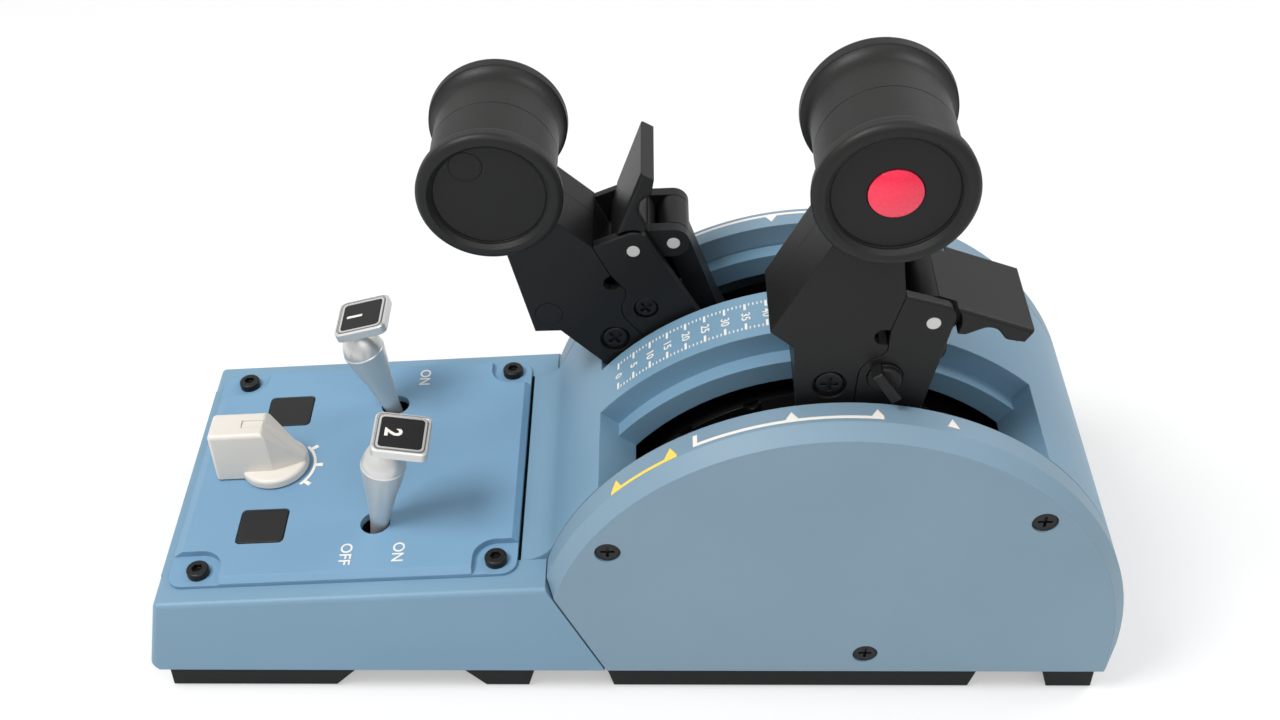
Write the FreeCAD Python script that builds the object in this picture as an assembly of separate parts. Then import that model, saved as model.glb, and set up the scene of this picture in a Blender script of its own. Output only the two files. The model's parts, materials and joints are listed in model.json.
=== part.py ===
import FreeCAD, Part
import math
import os

V = FreeCAD.Vector
os.makedirs("parts", exist_ok=True)

# Two-lever throttle quadrant, millimetres.
# +X is forward (away from the pilot), +Y is the pilot's left, +Z is up.
# The origin is the centre of the footprint, on the surface it stands on.

# ---- Housing -------------------------------------------------------------
body_length = 245.2
body_width = 90.0
wall = 2.5
skirt_z = 8.1               # lower edge of the blue shells
pivot_z = 17.5              # height of the lever axle
dome_radius = 73.5
end_radius = 1.4            # rounding along the box edges
toe_z = 10.6                # widest height of the leaning end wall
toe_inset = 1.9
aft_lean = 4.5              # how far the end wall leans in up to the deck
deck_aft_z = 32.2
deck_slope = 3.72           # degrees, rising forward
blend_radius = 9.0          # concave blend between deck and dome
nose_z = 14.7
nose_inset = 2.1
x_aft = -body_length / 2
x_fore = body_length / 2
half_width = body_width / 2
pivot_x = x_fore - dome_radius
deck_aft_x = x_aft + aft_lean
slope = math.radians(deck_slope)
beyond = body_length        # reaches past every piece

# ---- Side covers ---------------------------------------------------------
seam_y = 0.77333 * half_width   # seam between hood and side covers
seam_gap = 0.15
seam_run = 14.2             # how far the slanted seam runs forward on its way down
cover_chamfer_radial = 2.8
cover_chamfer_width = 3.8
cover_screw_radius = dome_radius - 8.5  # two of the cover screws sit on this circle
cover_screw_angles = (-58.2, 46.4)
low_screw_x_offset = 9.3    # third cover screw, from the axle
low_screw_z = 14.8
cover_head_r = 2.9
cover_recess_r = 3.15
cover_head_sink = 2.0       # seat of the head below the outer face
cover_shank_r = 1.3
cover_pilot_r = 1.35

# ---- Lever slots ---------------------------------------------------------
slot_inner_y = 0.18 * half_width    # half of the strip between the slots
throat_inner_y = slot_inner_y + 4.3
throat_outer_y = seam_y - 4.4
slot_aft = -51.5            # degrees from upright, about the axle
slot_fore = 41.0
ledge_radius = dome_radius - 6.0
rail_radius = dome_radius - 11.5
end_wall = 3.0

# ---- Base ----------------------------------------------------------------
base_inset = 1.5
base_rim = 1.0
floor_thickness = 2.2
rail_width = 13.0
foot_clear = 0.6            # hard rails stop this far above the surface
aft_foot_start = 4.0        # from the aft end
aft_foot_end = 46.1
small_foot_aft = 4.1        # to each side of the fore panel screws
small_foot_fore = 6.9
long_foot_start = 127.6     # from the fore end
long_foot_end = 36.4
nose_foot_start = 16.1
nose_foot_end = 4.6
gentle_ramp = 6.0
steep_ramp = 1.8
pad_end_gap = 2.6           # from a foot's fore end to its pad
aft_pad_gap = 16.0          # from the aft foot's aft end to its pad
pad_thickness = 1.6
pad_inset = 2.2
base_head_r = 2.8
base_head_height = 1.6
base_shank_r = 1.3
base_screw_length = 10.0
column_r = 4.0              # screw columns moulded into the hood
column_pilot_r = 1.35
front_column_x = x_fore - 18.6
front_column_y = half_width - 21.0
socket_width = 12.0         # cable inlet in the nose
socket_height = 7.0
socket_z = 16.5
socket_depth = 9.0
fit = 0.2                   # clearance between pieces that seat in each other
seat = 0.02                 # clearance of pins and shafts that are held fast

# ---- Panel ---------------------------------------------------------------
plate_aft = 2.3             # distances along the deck from its aft edge
plate_fore_gap = 7.33       # from the plate to where the deck meets the dome
plate_width = body_width - 10.6
plate_height = 2.7
plate_bevel = 1.5
plate_aft_bevel = 2.6
tab_height = 0.9
pocket_radius = 5.8
screw_aft = plate_aft + 7.6
screw_fore_gap = 5.2        # from the fore screws to the plate's fore edge
screw_pitch_y = plate_width - 8.6
panel_head_r = 2.8
panel_head_height = 2.0
panel_socket_r = 1.45
panel_socket_depth = 1.2
panel_shank_r = 1.3
panel_screw_length = 8.0
panel_opening_margin = 9.0  # rim of the deck left under the plate
button_at = 23.9
button_y = plate_width / 2 - 18.0
button_length = 12.0
button_width = 11.6
button_travel = 1.0
button_skirt = 2.5          # depth of the key below the plate
button_lip = 0.9
key_top = -7.0              # top of the switches' own plungers, panel frame
toggle_share = 0.44225      # toggles stand this far from the knob to the plate's fore edge
toggle_y = plate_width / 2 - 17.4
toggle_hole_r = 3.8
toggle_lean = 12.0
toggle_depth = 5.0          # pivot below the plate's top
collar_outer_r = 3.7
collar_top = 0.8
switch_bore_r = 3.25
bat_length = 30.0           # above the plate
bat_root_r = 2.4
bat_max_r = 5.7
bat_crease = 23.2           # widest place, above the plate
bat_step = 0.25
bat_neck_r = 3.0
head_size = 12.6
head_thickness = 2.5
head_offset = 2.7
head_dish = 0.5
head_border = 1.4
mode_at = 23.8
mode_flange_r = 8.8
mode_height = 15.6
mode_bar_width = 9.2
mode_tail = 15.0
mode_lift = 0.5
mode_edge_r = 1.1
mode_shaft_r = 3.0
mode_bore_gap = 0.05
board_thickness = 1.6
board_drop = 9.5            # board top below the plate's underside

# ---- Fixed frames inside the dome ----------------------------------------
frame_y = seam_y - 3.8
frame_thickness = 2.5
frame_foot_y = seam_y - 0.2
frame_radius = dome_radius - 16.5
frame_boss_r = 7.0
lug_r = 3.4                 # takes the low cover screw
foot_height = 2.0
window_ring = 0.63158 * frame_radius
window_r = 0.14912 * frame_radius
window_angles = (-66, -33, 0, 33, 66)
centre_half = throat_inner_y - 0.4
web_half = 3.0
centre_rim = 2.5
detent_outer_r = frame_radius
detent_inner_r = frame_radius - 8.0
detent_thickness = 1.3
detent_notch_r = 2.2
detents = (-39.5, -21.0, -2.0, 14.5, 26.0)

# ---- Lever mechanism -----------------------------------------------------
lever_y = (slot_inner_y + seam_y) / 2 - 0.25
lever_width = seam_y - slot_inner_y - 3.2
lever_split = 0.61          # the half shells meet this far from the right side
lever_wall = 2.2
lever_foot_v = dome_radius - 4.7    # lower end of the shells, from the axle
part_gap = 0.2
plate_t = 2.4               # side plates over the paddle's link
side_plug_u = -15.2
side_plug_v = dome_radius + 19.9
side_plug_r = 3.4
side_plug_depth = 0.9
lever_tilts = {1: -38.9, 2: 1.8}
axle_r = 3.0
axle_gap = 0.05
hub_r = 6.8
arm_width = throat_outer_y - throat_inner_y - 4.0
hub_width = arm_width + 1.2
arm_web = 5.0
arm_sweep_r = dome_radius - 15.5
arm_aft = -20.0             # the arm's fan, degrees from its middle line
arm_front = 6.0
neck_front = 5.5
neck_back = -10.5
roller_r = 2.0
roller_gap = 0.3
knob_above = 58.5           # knob's axis above the dome
knob_at = dome_radius + knob_above
knob_width = lever_width + 12.1
knob_shift = 0.6            # knob sits this far inward of the lever body
flange_r = 17.3
barrel_r = 15.4
shoulder_relief = 0.45      # room in the shells for the flare beside the barrel
recess_r = 13.6
recess_lip = 1.0            # slanted lip round the recess
recess_depth = 1.6
flange_width = 5.0
core_r = 8.0
core_half = 9.5
disc_thickness = 2.0
disc_gap = 0.12
disc_edge_r = 0.4
rim_step = 0.35             # crease between the flare and the rolled rim
red_button_r = 5.75
red_button_travel = 1.5
red_button_rise = 1.3
plug_r = 3.85
plug_depth = 1.2
plug_gap = 0.06
plug_offset = (1.0, 9.4)    # knob plug, from the knob's centre
pin_r = 1.6
pin_gap = 0.05
pin_u = 13.7                # paddle pin, from the axle in the lever's own frame
pin_v = dome_radius + 22.0
paddle_lift = 50.3          # degrees between lowered and raised paddle
paddle_slope = 17.8
paddle_face = 5.5           # top face above the pin
paddle_reach = 22.6
paddle_root_r = 6.3
ear_length = 9.84
ear_angle = -86.3           # direction of the strut pin from the paddle pin, lowered
ear_r = 4.0
ear_width = 3.0
side_gap = 0.3
strut_length = 33.0
strut_width = 8.0
strut_half = 3.0
strut_tilt = 8.8            # lean of the strut with the paddle lowered
strut_follow = 0.2          # the strut leans back by this share while the paddle turns up
guide_gap = 0.5             # strut foot between the arm's cheeks
strut_toe = 0.8             # how far the foot stands forward of the shank
lock_u = 5.0                # cover lock or screw, lever frame
lock_v = dome_radius + 6.1
lock_r = 3.9
lock_seam_r = 6.0           # the seam runs round the lock at this distance
lock_ridge = 4.2            # height of the finger ridge
lock_step = 1.9             # height of the half round beside it
lock_turn = -54.0
lock_shaft_r = 1.9
lock_boss_r = 3.2
body_screw_u = -7.2
body_screw_v = dome_radius + 3.3
body_screw_r = 3.3
body_screw_room = 0.6       # dark ring left round the head

# ---- Worked out from the sizes above ------------------------------------
floor_z = skirt_z + floor_thickness
base_head_top = skirt_z + 0.6
board_top = -board_drop
half_lever = lever_width / 2
split_y = half_lever - lever_width * (1 - lever_split)
boss_half = half_lever - plate_t - 0.05
guide_half = strut_width / 2 + guide_gap
roller_at = detent_outer_r + roller_gap + roller_r
half_knob = knob_width / 2


def polar(radius, degrees):
    """Point on a circle about the axle, the angle from upright towards the front."""
    a = math.radians(degrees)
    return (pivot_x + radius * math.sin(a), pivot_z + radius * math.cos(a))


def deck_height(x):
    return deck_aft_z + (x - deck_aft_x) * math.tan(slope)


def deck_meets_dome():
    """X where the deck plane meets the dome circle, at the seam of the side covers."""
    m = math.tan(slope)
    c = deck_height(pivot_x) - pivot_z
    a2 = 1 + m * m
    b2 = 2 * m * c
    c2 = c * c - dome_radius * dome_radius
    return pivot_x + (-b2 - math.sqrt(b2 * b2 - 4 * a2 * c2)) / (2 * a2)


seam_x = deck_meets_dome()
plate_fore = (seam_x - deck_aft_x) / math.cos(slope) - plate_fore_gap
screw_fore = plate_fore - screw_fore_gap
toggle_at = mode_at + toggle_share * (plate_fore - mode_at)


def outline(points, y0, y1):
    """Prism between y0 and y1. A point (x, z) ends a line; (mx, mz, x, z) ends an arc."""
    edges = []
    last = V(points[0][0], y0, points[0][1])
    first = last
    for p in points[1:] + [points[0]]:
        end = V(p[-2], y0, p[-1])
        if (end - last).Length < 1e-6:
            continue
        if len(p) == 4:
            edges.append(Part.Arc(last, V(p[0], y0, p[1]), end).toShape())
        else:
            edges.append(Part.LineSegment(last, end).toShape())
        last = end
    assert (last - first).Length < 1e-6
    return Part.Face(Part.Wire(edges)).extrude(V(0, y1 - y0, 0))


def sector(r0, r1, a0, a1, y0, y1):
    """Block between two radii and two angles about the axle."""
    mid = (a0 + a1) / 2
    points = [polar(r0, a0), polar(r1, a0), polar(r1, mid) + polar(r1, a1)]
    points += [polar(r0, a1)]
    block = outline(points, y0, y1)
    if r0 > 0:
        block = block.cut(rod(pivot_x, pivot_z, r0, y0 - 1, y1 + 1))
    return block


def rod(x, z, r, y0, y1):
    return Part.makeCylinder(r, y1 - y0, V(x, y0, z), V(0, 1, 0))


def post(x, y, r, z0, z1):
    return Part.makeCylinder(r, z1 - z0, V(x, y, z0), V(0, 0, 1))


def slab(x0, x1, y0, y1, z0, z1):
    return Part.makeBox(x1 - x0, y1 - y0, z1 - z0, V(x0, y0, z0))


def fuse(first, *others):
    return first.multiFuse(list(others)).removeSplitter()


def cut(body, *tools):
    return body.cut(Part.Compound(list(tools)))


def picked(shape, test):
    """Edges whose midpoint passes the test."""
    found = []
    for e in shape.Edges:
        mid = e.valueAt((e.FirstParameter + e.LastParameter) / 2)
        if test(mid):
            found.append(e)
    return found


def save(name, *solids):
    shape = solids[0] if len(solids) == 1 else Part.Compound(list(solids))
    if len(shape.Solids) == 1:
        shape = shape.Solids[0]
    assert shape.isValid() and shape.Volume > 0, name
    shape.exportStep("parts/" + name + ".step")


def between(side, y0, y1):
    """Y limits on one side of the middle plane, in rising order."""
    return tuple(sorted((side * y0, side * y1)))


# ---- Hood: panel box, deck, and the middle of the dome -------------------
def hood_profile(t, bottom):
    """Side outline of the hood, moved inwards by t."""
    lean = math.atan2(aft_lean, deck_aft_z - toe_z)
    corner_z = deck_aft_z - t / math.cos(slope)
    corner_x = x_aft + t / math.cos(lean) + (corner_z - toe_z) * math.tan(lean)
    corner_z += (corner_x - deck_aft_x) * math.tan(slope)
    r = dome_radius - t
    b = blend_radius + t
    normal = (-math.sin(slope), math.cos(slope))
    # the blend's centre lies b above the deck and r + b from the axle
    base = (deck_aft_x + normal[0] * (b - t), deck_aft_z + normal[1] * (b - t))
    along = (math.cos(slope), math.sin(slope))
    wx, wz = base[0] - pivot_x, base[1] - pivot_z
    half_b = wx * along[0] + wz * along[1]
    reach = -half_b - math.sqrt(half_b ** 2 - (wx ** 2 + wz ** 2 - (r + b) ** 2))
    cx = base[0] + along[0] * reach
    cz = base[1] + along[1] * reach
    deck_end = (cx - normal[0] * b, cz - normal[1] * b)
    dx, dz = pivot_x - cx, pivot_z - cz
    far = math.hypot(dx, dz)
    dome_start = (cx + dx * b / far, cz + dz * b / far)
    mx = (deck_end[0] + dome_start[0]) / 2 - cx
    mz = (deck_end[1] + dome_start[1]) / 2 - cz
    k = b / math.hypot(mx, mz)
    return [
        (x_aft + toe_inset + t, bottom),
        (x_aft + t / math.cos(lean), toe_z),
        (corner_x, corner_z),
        deck_end,
        (cx + mx * k, cz + mz * k) + dome_start,
        (pivot_x, pivot_z + r, x_fore - t, pivot_z),
        (x_fore - t, nose_z),
        (x_fore - nose_inset - t, bottom),
    ]


def box_profile(t, bottom, reach):
    """Side outline of the panel box; reach moves its slanted fore end."""
    aft = hood_profile(t, bottom)[:3]
    top_x = seam_x + reach
    low_x = seam_x + seam_run + reach
    return aft + [(top_x, deck_height(top_x) - t / math.cos(slope)), (low_x, bottom)]


def hood():
    middle = outline(hood_profile(0, skirt_z), -seam_y + seam_gap, seam_y - seam_gap)
    box = outline(box_profile(0, skirt_z, -seam_gap), -half_width, half_width)
    box = box.makeFillet(end_radius, picked(box, lambda p: (
        abs(abs(p.y) - half_width) < 0.01 and p.z > toe_z + 1 and p.x < seam_x - 1
        or p.x < deck_aft_x + 0.01 and abs(p.z - deck_aft_z) < 0.01)))
    shell = fuse(box, middle)
    inside = outline(hood_profile(wall, skirt_z - 1), -seam_y, seam_y)
    inside_box = outline(box_profile(wall, skirt_z - 1, 20), wall - half_width, half_width - wall)
    keep_back = outline(box_profile(0, skirt_z - 2, wall), -half_width, half_width)
    inside = fuse(inside, inside_box.common(keep_back))
    shell = shell.cut(inside)

    edge = seam_y - seam_gap
    blocks = [sector(rail_radius, dome_radius - 1, slot_aft - end_wall, slot_fore + end_wall, -edge, edge)]
    for side in (-1, 1):
        y0, y1 = between(side, throat_outer_y - 7, edge)
        lo, hi = cover_screw_angles
        blocks.append(sector(rail_radius - 1.5, dome_radius - 1, lo - 4, slot_aft, y0, y1))
        blocks.append(sector(rail_radius - 1.5, dome_radius - 1, slot_fore, hi + 4, y0, y1))
    shell = fuse(shell, *blocks)

    tools = [sector(rail_radius - 3, dome_radius - wall, slot_aft, slot_fore,
                    wall - slot_inner_y, slot_inner_y - wall)]
    for side in (-1, 1):
        y0, y1 = between(side, slot_inner_y, half_width)
        tools.append(sector(ledge_radius, dome_radius + 3, slot_aft, slot_fore, y0, y1))
        y0, y1 = between(side, throat_inner_y, throat_outer_y)
        tools.append(sector(rail_radius - 3, dome_radius, slot_aft, slot_fore, y0, y1))
        for a in cover_screw_angles:
            x, z = polar(cover_screw_radius, a)
            y0, y1 = between(side, throat_outer_y - 5, half_width)
            tools.append(rod(x, z, cover_pilot_r, y0, y1))
    shell = cut(shell, *tools)
    return fuse(shell, *hood_columns(shell))


def panel_screw_places():
    return [(x, side * screw_pitch_y / 2) for x in (screw_aft, screw_fore) for side in (-1, 1)]


def on_deck(shape):
    """Moves a shape from panel coordinates (x along the deck, z above it) to its place."""
    shape = shape.copy()
    shape.rotate(V(0, 0, 0), V(0, 1, 0), -deck_slope)
    shape.translate(V(deck_aft_x, 0, deck_aft_z))
    return shape


def deck_point(x, z=0.0):
    return (deck_aft_x + x * math.cos(slope) - z * math.sin(slope),
            deck_aft_z + x * math.sin(slope) + z * math.cos(slope))


def hood_columns(shell):
    """Screw columns under the deck and behind the nose, down to the base's floor."""
    columns = []
    for x, y in panel_screw_places():
        cx, cz = deck_point(x)
        column = post(cx, y, column_r, floor_z + fit, cz - 1)
        rib = slab(cx - 1, cx + 1, *between(1 if y > 0 else -1, abs(y), half_width - wall + 0.5),
                   floor_z + fit, cz - 2)
        columns += [column, rib]
    for side in (-1, 1):
        top = pivot_z + math.sqrt((dome_radius - 1) ** 2 - (front_column_x - pivot_x) ** 2)
        columns.append(post(front_column_x, side * front_column_y, column_r, floor_z + fit, top - 1))
    return columns


def hood_finished():
    shell = hood()
    tools = []
    for x, y in panel_screw_places():
        cx, cz = deck_point(x)
        tools.append(on_deck(post(x, y, column_pilot_r, -9, 5)))
        tools.append(post(cx, y, column_pilot_r, skirt_z - 1, floor_z + 10))
    for side in (-1, 1):
        tools.append(post(front_column_x, side * front_column_y, column_pilot_r, skirt_z - 1, floor_z + 10))
    m = panel_opening_margin
    opening = slab(plate_aft + m, plate_fore - m, m + 3 - plate_width / 2, plate_width / 2 - m - 3, -8, 5)
    tools.append(on_deck(opening))
    tools.append(slab(x_fore - wall - 3, x_fore + 1, -socket_width / 2, socket_width / 2,
                      socket_z - socket_height / 2, socket_z + socket_height / 2))
    return cut(shell, *tools)


# ---- Side covers ---------------------------------------------------------
def cover_profile(t, bottom):
    """D-shaped outline: slanted seam, dome arc, straight nose."""
    r = dome_radius - t
    x0 = seam_x + seam_gap + t
    z0 = pivot_z + math.sqrt(r * r - (x0 - pivot_x) ** 2)
    run = seam_run * (z0 - bottom) / (deck_height(seam_x) - skirt_z)
    return [(x0 + run, bottom), (x0, z0), (pivot_x, pivot_z + r, x_fore - t, pivot_z),
            (x_fore - t, nose_z), (x_fore - nose_inset - t, bottom)]


def side_cover(side):
    y_in, y_out = seam_y + seam_gap, half_width
    chamfer_at = y_out - cover_chamfer_width
    rim = outline(cover_profile(0, skirt_z), *between(side, y_in, y_out))
    # chamfer band between the top strip and the flat outer face
    cone_r = dome_radius - cover_chamfer_radial
    cone = Part.makeCone(dome_radius, cone_r, cover_chamfer_width,
                         V(pivot_x, side * chamfer_at, pivot_z), V(0, side, 0))
    drum = rod(pivot_x, pivot_z, dome_radius, *between(side, y_in - 1, chamfer_at))
    low = outline([(x_aft, skirt_z - 1), (x_aft, pivot_z), (x_fore + 1, pivot_z), (x_fore + 1, skirt_z - 1)],
                  *between(side, y_in - 1, y_out))
    wedge_points = [(chamfer_at, 0), (y_out, -cover_chamfer_radial), (y_out + 1, 1), (chamfer_at, 1)]
    wire = Part.makePolygon([V(x_fore + 2 * b if b > 0 else x_fore + b, side * a, skirt_z - 1)
                             for a, b in wedge_points + wedge_points[:1]])
    wedge = Part.Face(wire).extrude(V(0, 0, pivot_z - skirt_z + 1))
    upper = fuse(cone, drum)
    body = rim.common(fuse(upper, low.cut(wedge)))
    inside = outline(cover_profile(wall, skirt_z - 1), *between(side, y_in - 1, y_out - wall))
    floor_room = slab(seam_x, x_fore - nose_inset - wall, *between(side, y_in - 1, y_out - wall),
                      0, floor_z + fit)
    body = body.cut(inside).cut(floor_room)
    # lip that closes the outer side of the lever slot
    lip = sector(ledge_radius - 1.5, dome_radius - 1, slot_aft - end_wall, slot_fore + end_wall,
                 *between(side, y_in, y_in + 2))
    bosses = []
    tools = []
    for x, z in cover_screw_places():
        bosses.append(rod(x, z, cover_recess_r + 1.2, *between(side, y_in, y_out - 1)))
        tools.append(rod(x, z, cover_recess_r, *between(side, y_out - cover_head_sink, y_out + 1)))
        tools.append(rod(x, z, cover_shank_r + 0.15, *between(side, y_in - 1, y_out)))
    bosses = [b.common(rim) for b in bosses]
    return cut(fuse(body, lip, *bosses), *tools)


def cover_screw_places():
    places = [polar(cover_screw_radius, a) for a in cover_screw_angles]
    return places + [(pivot_x + low_screw_x_offset, low_screw_z)]


def cover_screw(side, x, z):
    y_out = half_width - 0.4
    y_head = half_width - cover_head_sink
    head = rod(x, z, cover_head_r, *between(side, y_head, y_out))
    shank = rod(x, z, cover_shank_r, *between(side, throat_outer_y + 1.0, y_head))
    cross = [slab(x - 1.7, x + 1.7, *between(side, y_out - 0.9, y_out + 1), z - 0.35, z + 0.35),
             slab(x - 0.35, x + 0.35, *between(side, y_out - 0.9, y_out + 1), z - 1.7, z + 1.7)]
    return cut(fuse(head, shank), *cross)



# ---- Base plate, feet and pads -------------------------------------------
def feet():
    """Each foot along X: where its flat starts and ends, and how far its two ramps run."""
    column_x = deck_point(screw_fore)[0]
    return [
        (x_aft + aft_foot_start, x_aft + aft_foot_end, 0.0, gentle_ramp),
        (column_x - small_foot_aft, column_x + small_foot_fore, gentle_ramp, steep_ramp),
        (x_fore - long_foot_start, x_fore - long_foot_end, steep_ramp, steep_ramp),
        (x_fore - nose_foot_start, x_fore - nose_foot_end, steep_ramp, 0.0),
    ]


def base_plate():
    x0 = x_aft + toe_inset + base_inset
    x1 = x_fore - nose_inset - base_inset
    y = half_width - base_inset
    low = skirt_z - base_rim
    plate = slab(x0, x1, -y, y, low, skirt_z)
    inner = slab(x_aft + toe_inset + wall + fit, x_fore - nose_inset - wall - fit,
                 wall + fit - half_width, half_width - wall - fit, skirt_z, floor_z)
    rails = []
    tools = []
    for start, end, aft_ramp, fore_ramp in feet():
        side_view = [(start - aft_ramp, low), (start, foot_clear), (end, foot_clear), (end + fore_ramp, low)]
        for side in (-1, 1):
            rails.append(outline(side_view, *between(side, y - rail_width, y)))
    for x, y in base_screw_places():
        tools.append(post(x, y, base_shank_r + fit, low - 1, floor_z + 1))
        tools.append(post(x, y, base_head_r + fit, foot_clear - 1, base_head_top))
    for pad in foot_pads(fit, 1):
        tools.append(pad)
    return cut(fuse(plate, inner, *rails), *tools)


def base_screw_places():
    places = [(deck_point(x)[0], y) for x, y in panel_screw_places()]
    return places + [(front_column_x, side * front_column_y) for side in (-1, 1)]


def foot_pads(grow, below):
    """Rubber strips let into the rails; grown and lengthened downwards they cut their pockets."""
    y1 = half_width - base_inset - pad_inset + grow
    y0 = half_width - base_inset - rail_width + pad_inset - grow
    aft, small, long, nose = feet()
    spans = [(aft[0] + aft_pad_gap, aft[1] - pad_end_gap), (long[0] + pad_end_gap, long[1] - pad_end_gap),
             (nose[0] + pad_inset, nose[1] - pad_inset)]
    pads = []
    for side in (-1, 1):
        for start, end in spans:
            pads.append(slab(start - grow, end + grow, *between(side, y0, y1), -below, pad_thickness))
    return pads


def base_screw(x, y):
    head = post(x, y, base_head_r, base_head_top - base_head_height, base_head_top)
    shank = post(x, y, base_shank_r, base_head_top, base_head_top + base_screw_length)
    bottom = base_head_top - base_head_height
    return cut(fuse(head, shank), post(x, y, 1.3, bottom - 1, bottom + 0.9))


# ---- Panel: bevelled plate, switches, buttons, mode knob -----------------
def panel_plate():
    y = plate_width / 2
    plate = slab(plate_aft, plate_fore, -y, y, 0, plate_height)
    plate = plate.makeFillet(4.0, picked(plate, lambda p: abs(p.z - plate_height / 2) < 0.01))
    plate = plate.makeChamfer(plate_bevel, picked(plate, lambda p: p.z > plate_height - 0.01))
    ramp = outline([(plate_aft - 1, tab_height), (plate_aft, tab_height),
                    (plate_aft + plate_aft_bevel, plate_height + 0.01), (plate_aft - 1, plate_height + 0.01)],
                   -y - 1, y + 1)
    tools = [ramp]
    reach = pocket_radius + 6
    for x, yy in panel_screw_places():
        out_x = 1 if x > (plate_aft + plate_fore) / 2 else -1
        out_y = 1 if yy > 0 else -1
        xs = sorted((x - out_x * pocket_radius, x + out_x * reach))
        ys = sorted((yy - out_y * pocket_radius, yy + out_y * reach))
        pocket = slab(xs[0], xs[1], ys[0], ys[1], tab_height, plate_height + 1)
        corner = picked(pocket, lambda p: abs(p.x - (x - out_x * pocket_radius)) < 0.01
                        and abs(p.y - (yy - out_y * pocket_radius)) < 0.01)
        tools.append(pocket.makeFillet(pocket_radius - 0.05, corner))
        tools.append(post(x, yy, panel_shank_r + 0.2, -1, plate_height))
    for side in (-1, 1):
        tools.append(button_block(side, fit, -1, plate_height + 1))
        tools.append(post(toggle_at, side * toggle_y, toggle_hole_r, -1, plate_height + 1))
    tools.append(post(mode_at, 0, mode_shaft_r + 0.4, -1, plate_height + 1))
    return on_deck(cut(plate, *tools))


def panel_screw(x, y):
    top = tab_height + panel_head_height
    head = post(x, y, panel_head_r, tab_height, top)
    head = head.makeFillet(0.5, picked(head, lambda p: p.z > top - 0.01))
    shank = post(x, y, panel_shank_r, tab_height - panel_screw_length, tab_height)
    corners = [V(panel_socket_r, 0, 0)] * 7
    corners = [FreeCAD.Rotation(V(0, 0, 1), 60 * i).multVec(c) + V(x, y, top - panel_socket_depth)
               for i, c in enumerate(corners)]
    socket = Part.Face(Part.makePolygon(corners)).extrude(V(0, 0, panel_socket_depth + 1))
    return on_deck(fuse(head, shank).cut(socket))


def button_block(side, grow, z0, z1):
    """Square button shape with rounded corners; grown, it cuts its window."""
    half_x = button_length / 2 + grow
    half_y = button_width / 2 + grow
    y = side * button_y
    block = slab(button_at - half_x, button_at + half_x, y - half_y, y + half_y, z0, z1)
    mid = (z0 + z1) / 2
    return block.makeFillet(1.2 + grow, picked(block, lambda p: abs(p.z - mid) < 0.01))


def square_button(side):
    cap = button_block(side, 0, -button_skirt, plate_height + 0.15)
    cap = cap.makeFillet(0.35, picked(cap, lambda p: p.z > plate_height + 0.1))
    lip_x = button_length / 2 + button_lip
    lip_y = button_width / 2 - 0.2
    lip = slab(button_at - lip_x, button_at + lip_x, side * button_y - lip_y, side * button_y + lip_y,
               -button_skirt, -0.3)
    stem = post(button_at, side * button_y, 2.0, key_top + button_travel + 0.15, -button_skirt)
    return on_deck(fuse(cap, lip, stem))


def toggle(side, lean):
    """Bat switch lever with its square head, turned about its pivot."""
    s0 = toggle_depth
    profile = [V(0, 0, -3.5), V(1.7, 0, -3.5), V(2.1, 0, 0), V(bat_root_r, 0, s0)]
    edges = [Part.LineSegment(a, b).toShape() for a, b in zip(profile, profile[1:])]
    # swelling taper up to the crease, a small step, then the domed shoulder
    crease = V(bat_max_r, 0, s0 + bat_crease)
    belly = V((bat_root_r + bat_max_r) / 2 + 0.55, 0, s0 + bat_crease / 2)
    edges.append(Part.Arc(profile[-1], belly, crease).toShape())
    foot = V(bat_max_r - bat_step, 0, crease.z + bat_step)
    dome_end = V(bat_neck_r + 0.2, 0, s0 + bat_length - 1.3)
    dome_mid = V((foot.x + dome_end.x) / 2 + 0.7, 0, (foot.z + dome_end.z) / 2 + 0.3)
    edges.append(Part.LineSegment(crease, foot).toShape())
    edges.append(Part.Arc(foot, dome_mid, dome_end).toShape())
    top = s0 + bat_length
    rest = [dome_end, V(bat_neck_r, 0, top - 0.9), V(bat_neck_r, 0, top + 0.5), V(0, 0, top + 0.5),
            profile[0]]
    edges += [Part.LineSegment(a, b).toShape() for a, b in zip(rest, rest[1:])]
    bat = Part.Face(Part.Wire(edges)).revolve(V(0, 0, 0), V(0, 0, 1), 360)
    h = head_size / 2
    head = slab(head_offset - h, head_offset + h, -h, h, top, top + head_thickness)
    mid = top + head_thickness / 2
    head = head.makeFillet(1.9, picked(head, lambda p: abs(p.z - mid) < 0.01))
    # shallow dish in the head's top face
    dish_z = top + head_thickness - head_dish
    inner = h - head_border
    rim = slab(head_offset - inner, head_offset + inner, -inner, inner, dish_z, dish_z + 4)
    rim = rim.makeFillet(1.1, picked(rim, lambda p: abs(p.z - dish_z - 2) < 0.01))
    head = head.cut(rim)
    lever = fuse(bat, head)
    lever.rotate(V(0, 0, 0), V(0, 1, 0), lean)
    lever.translate(V(toggle_at, side * toggle_y, plate_height - toggle_depth))
    return on_deck(lever)


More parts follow.
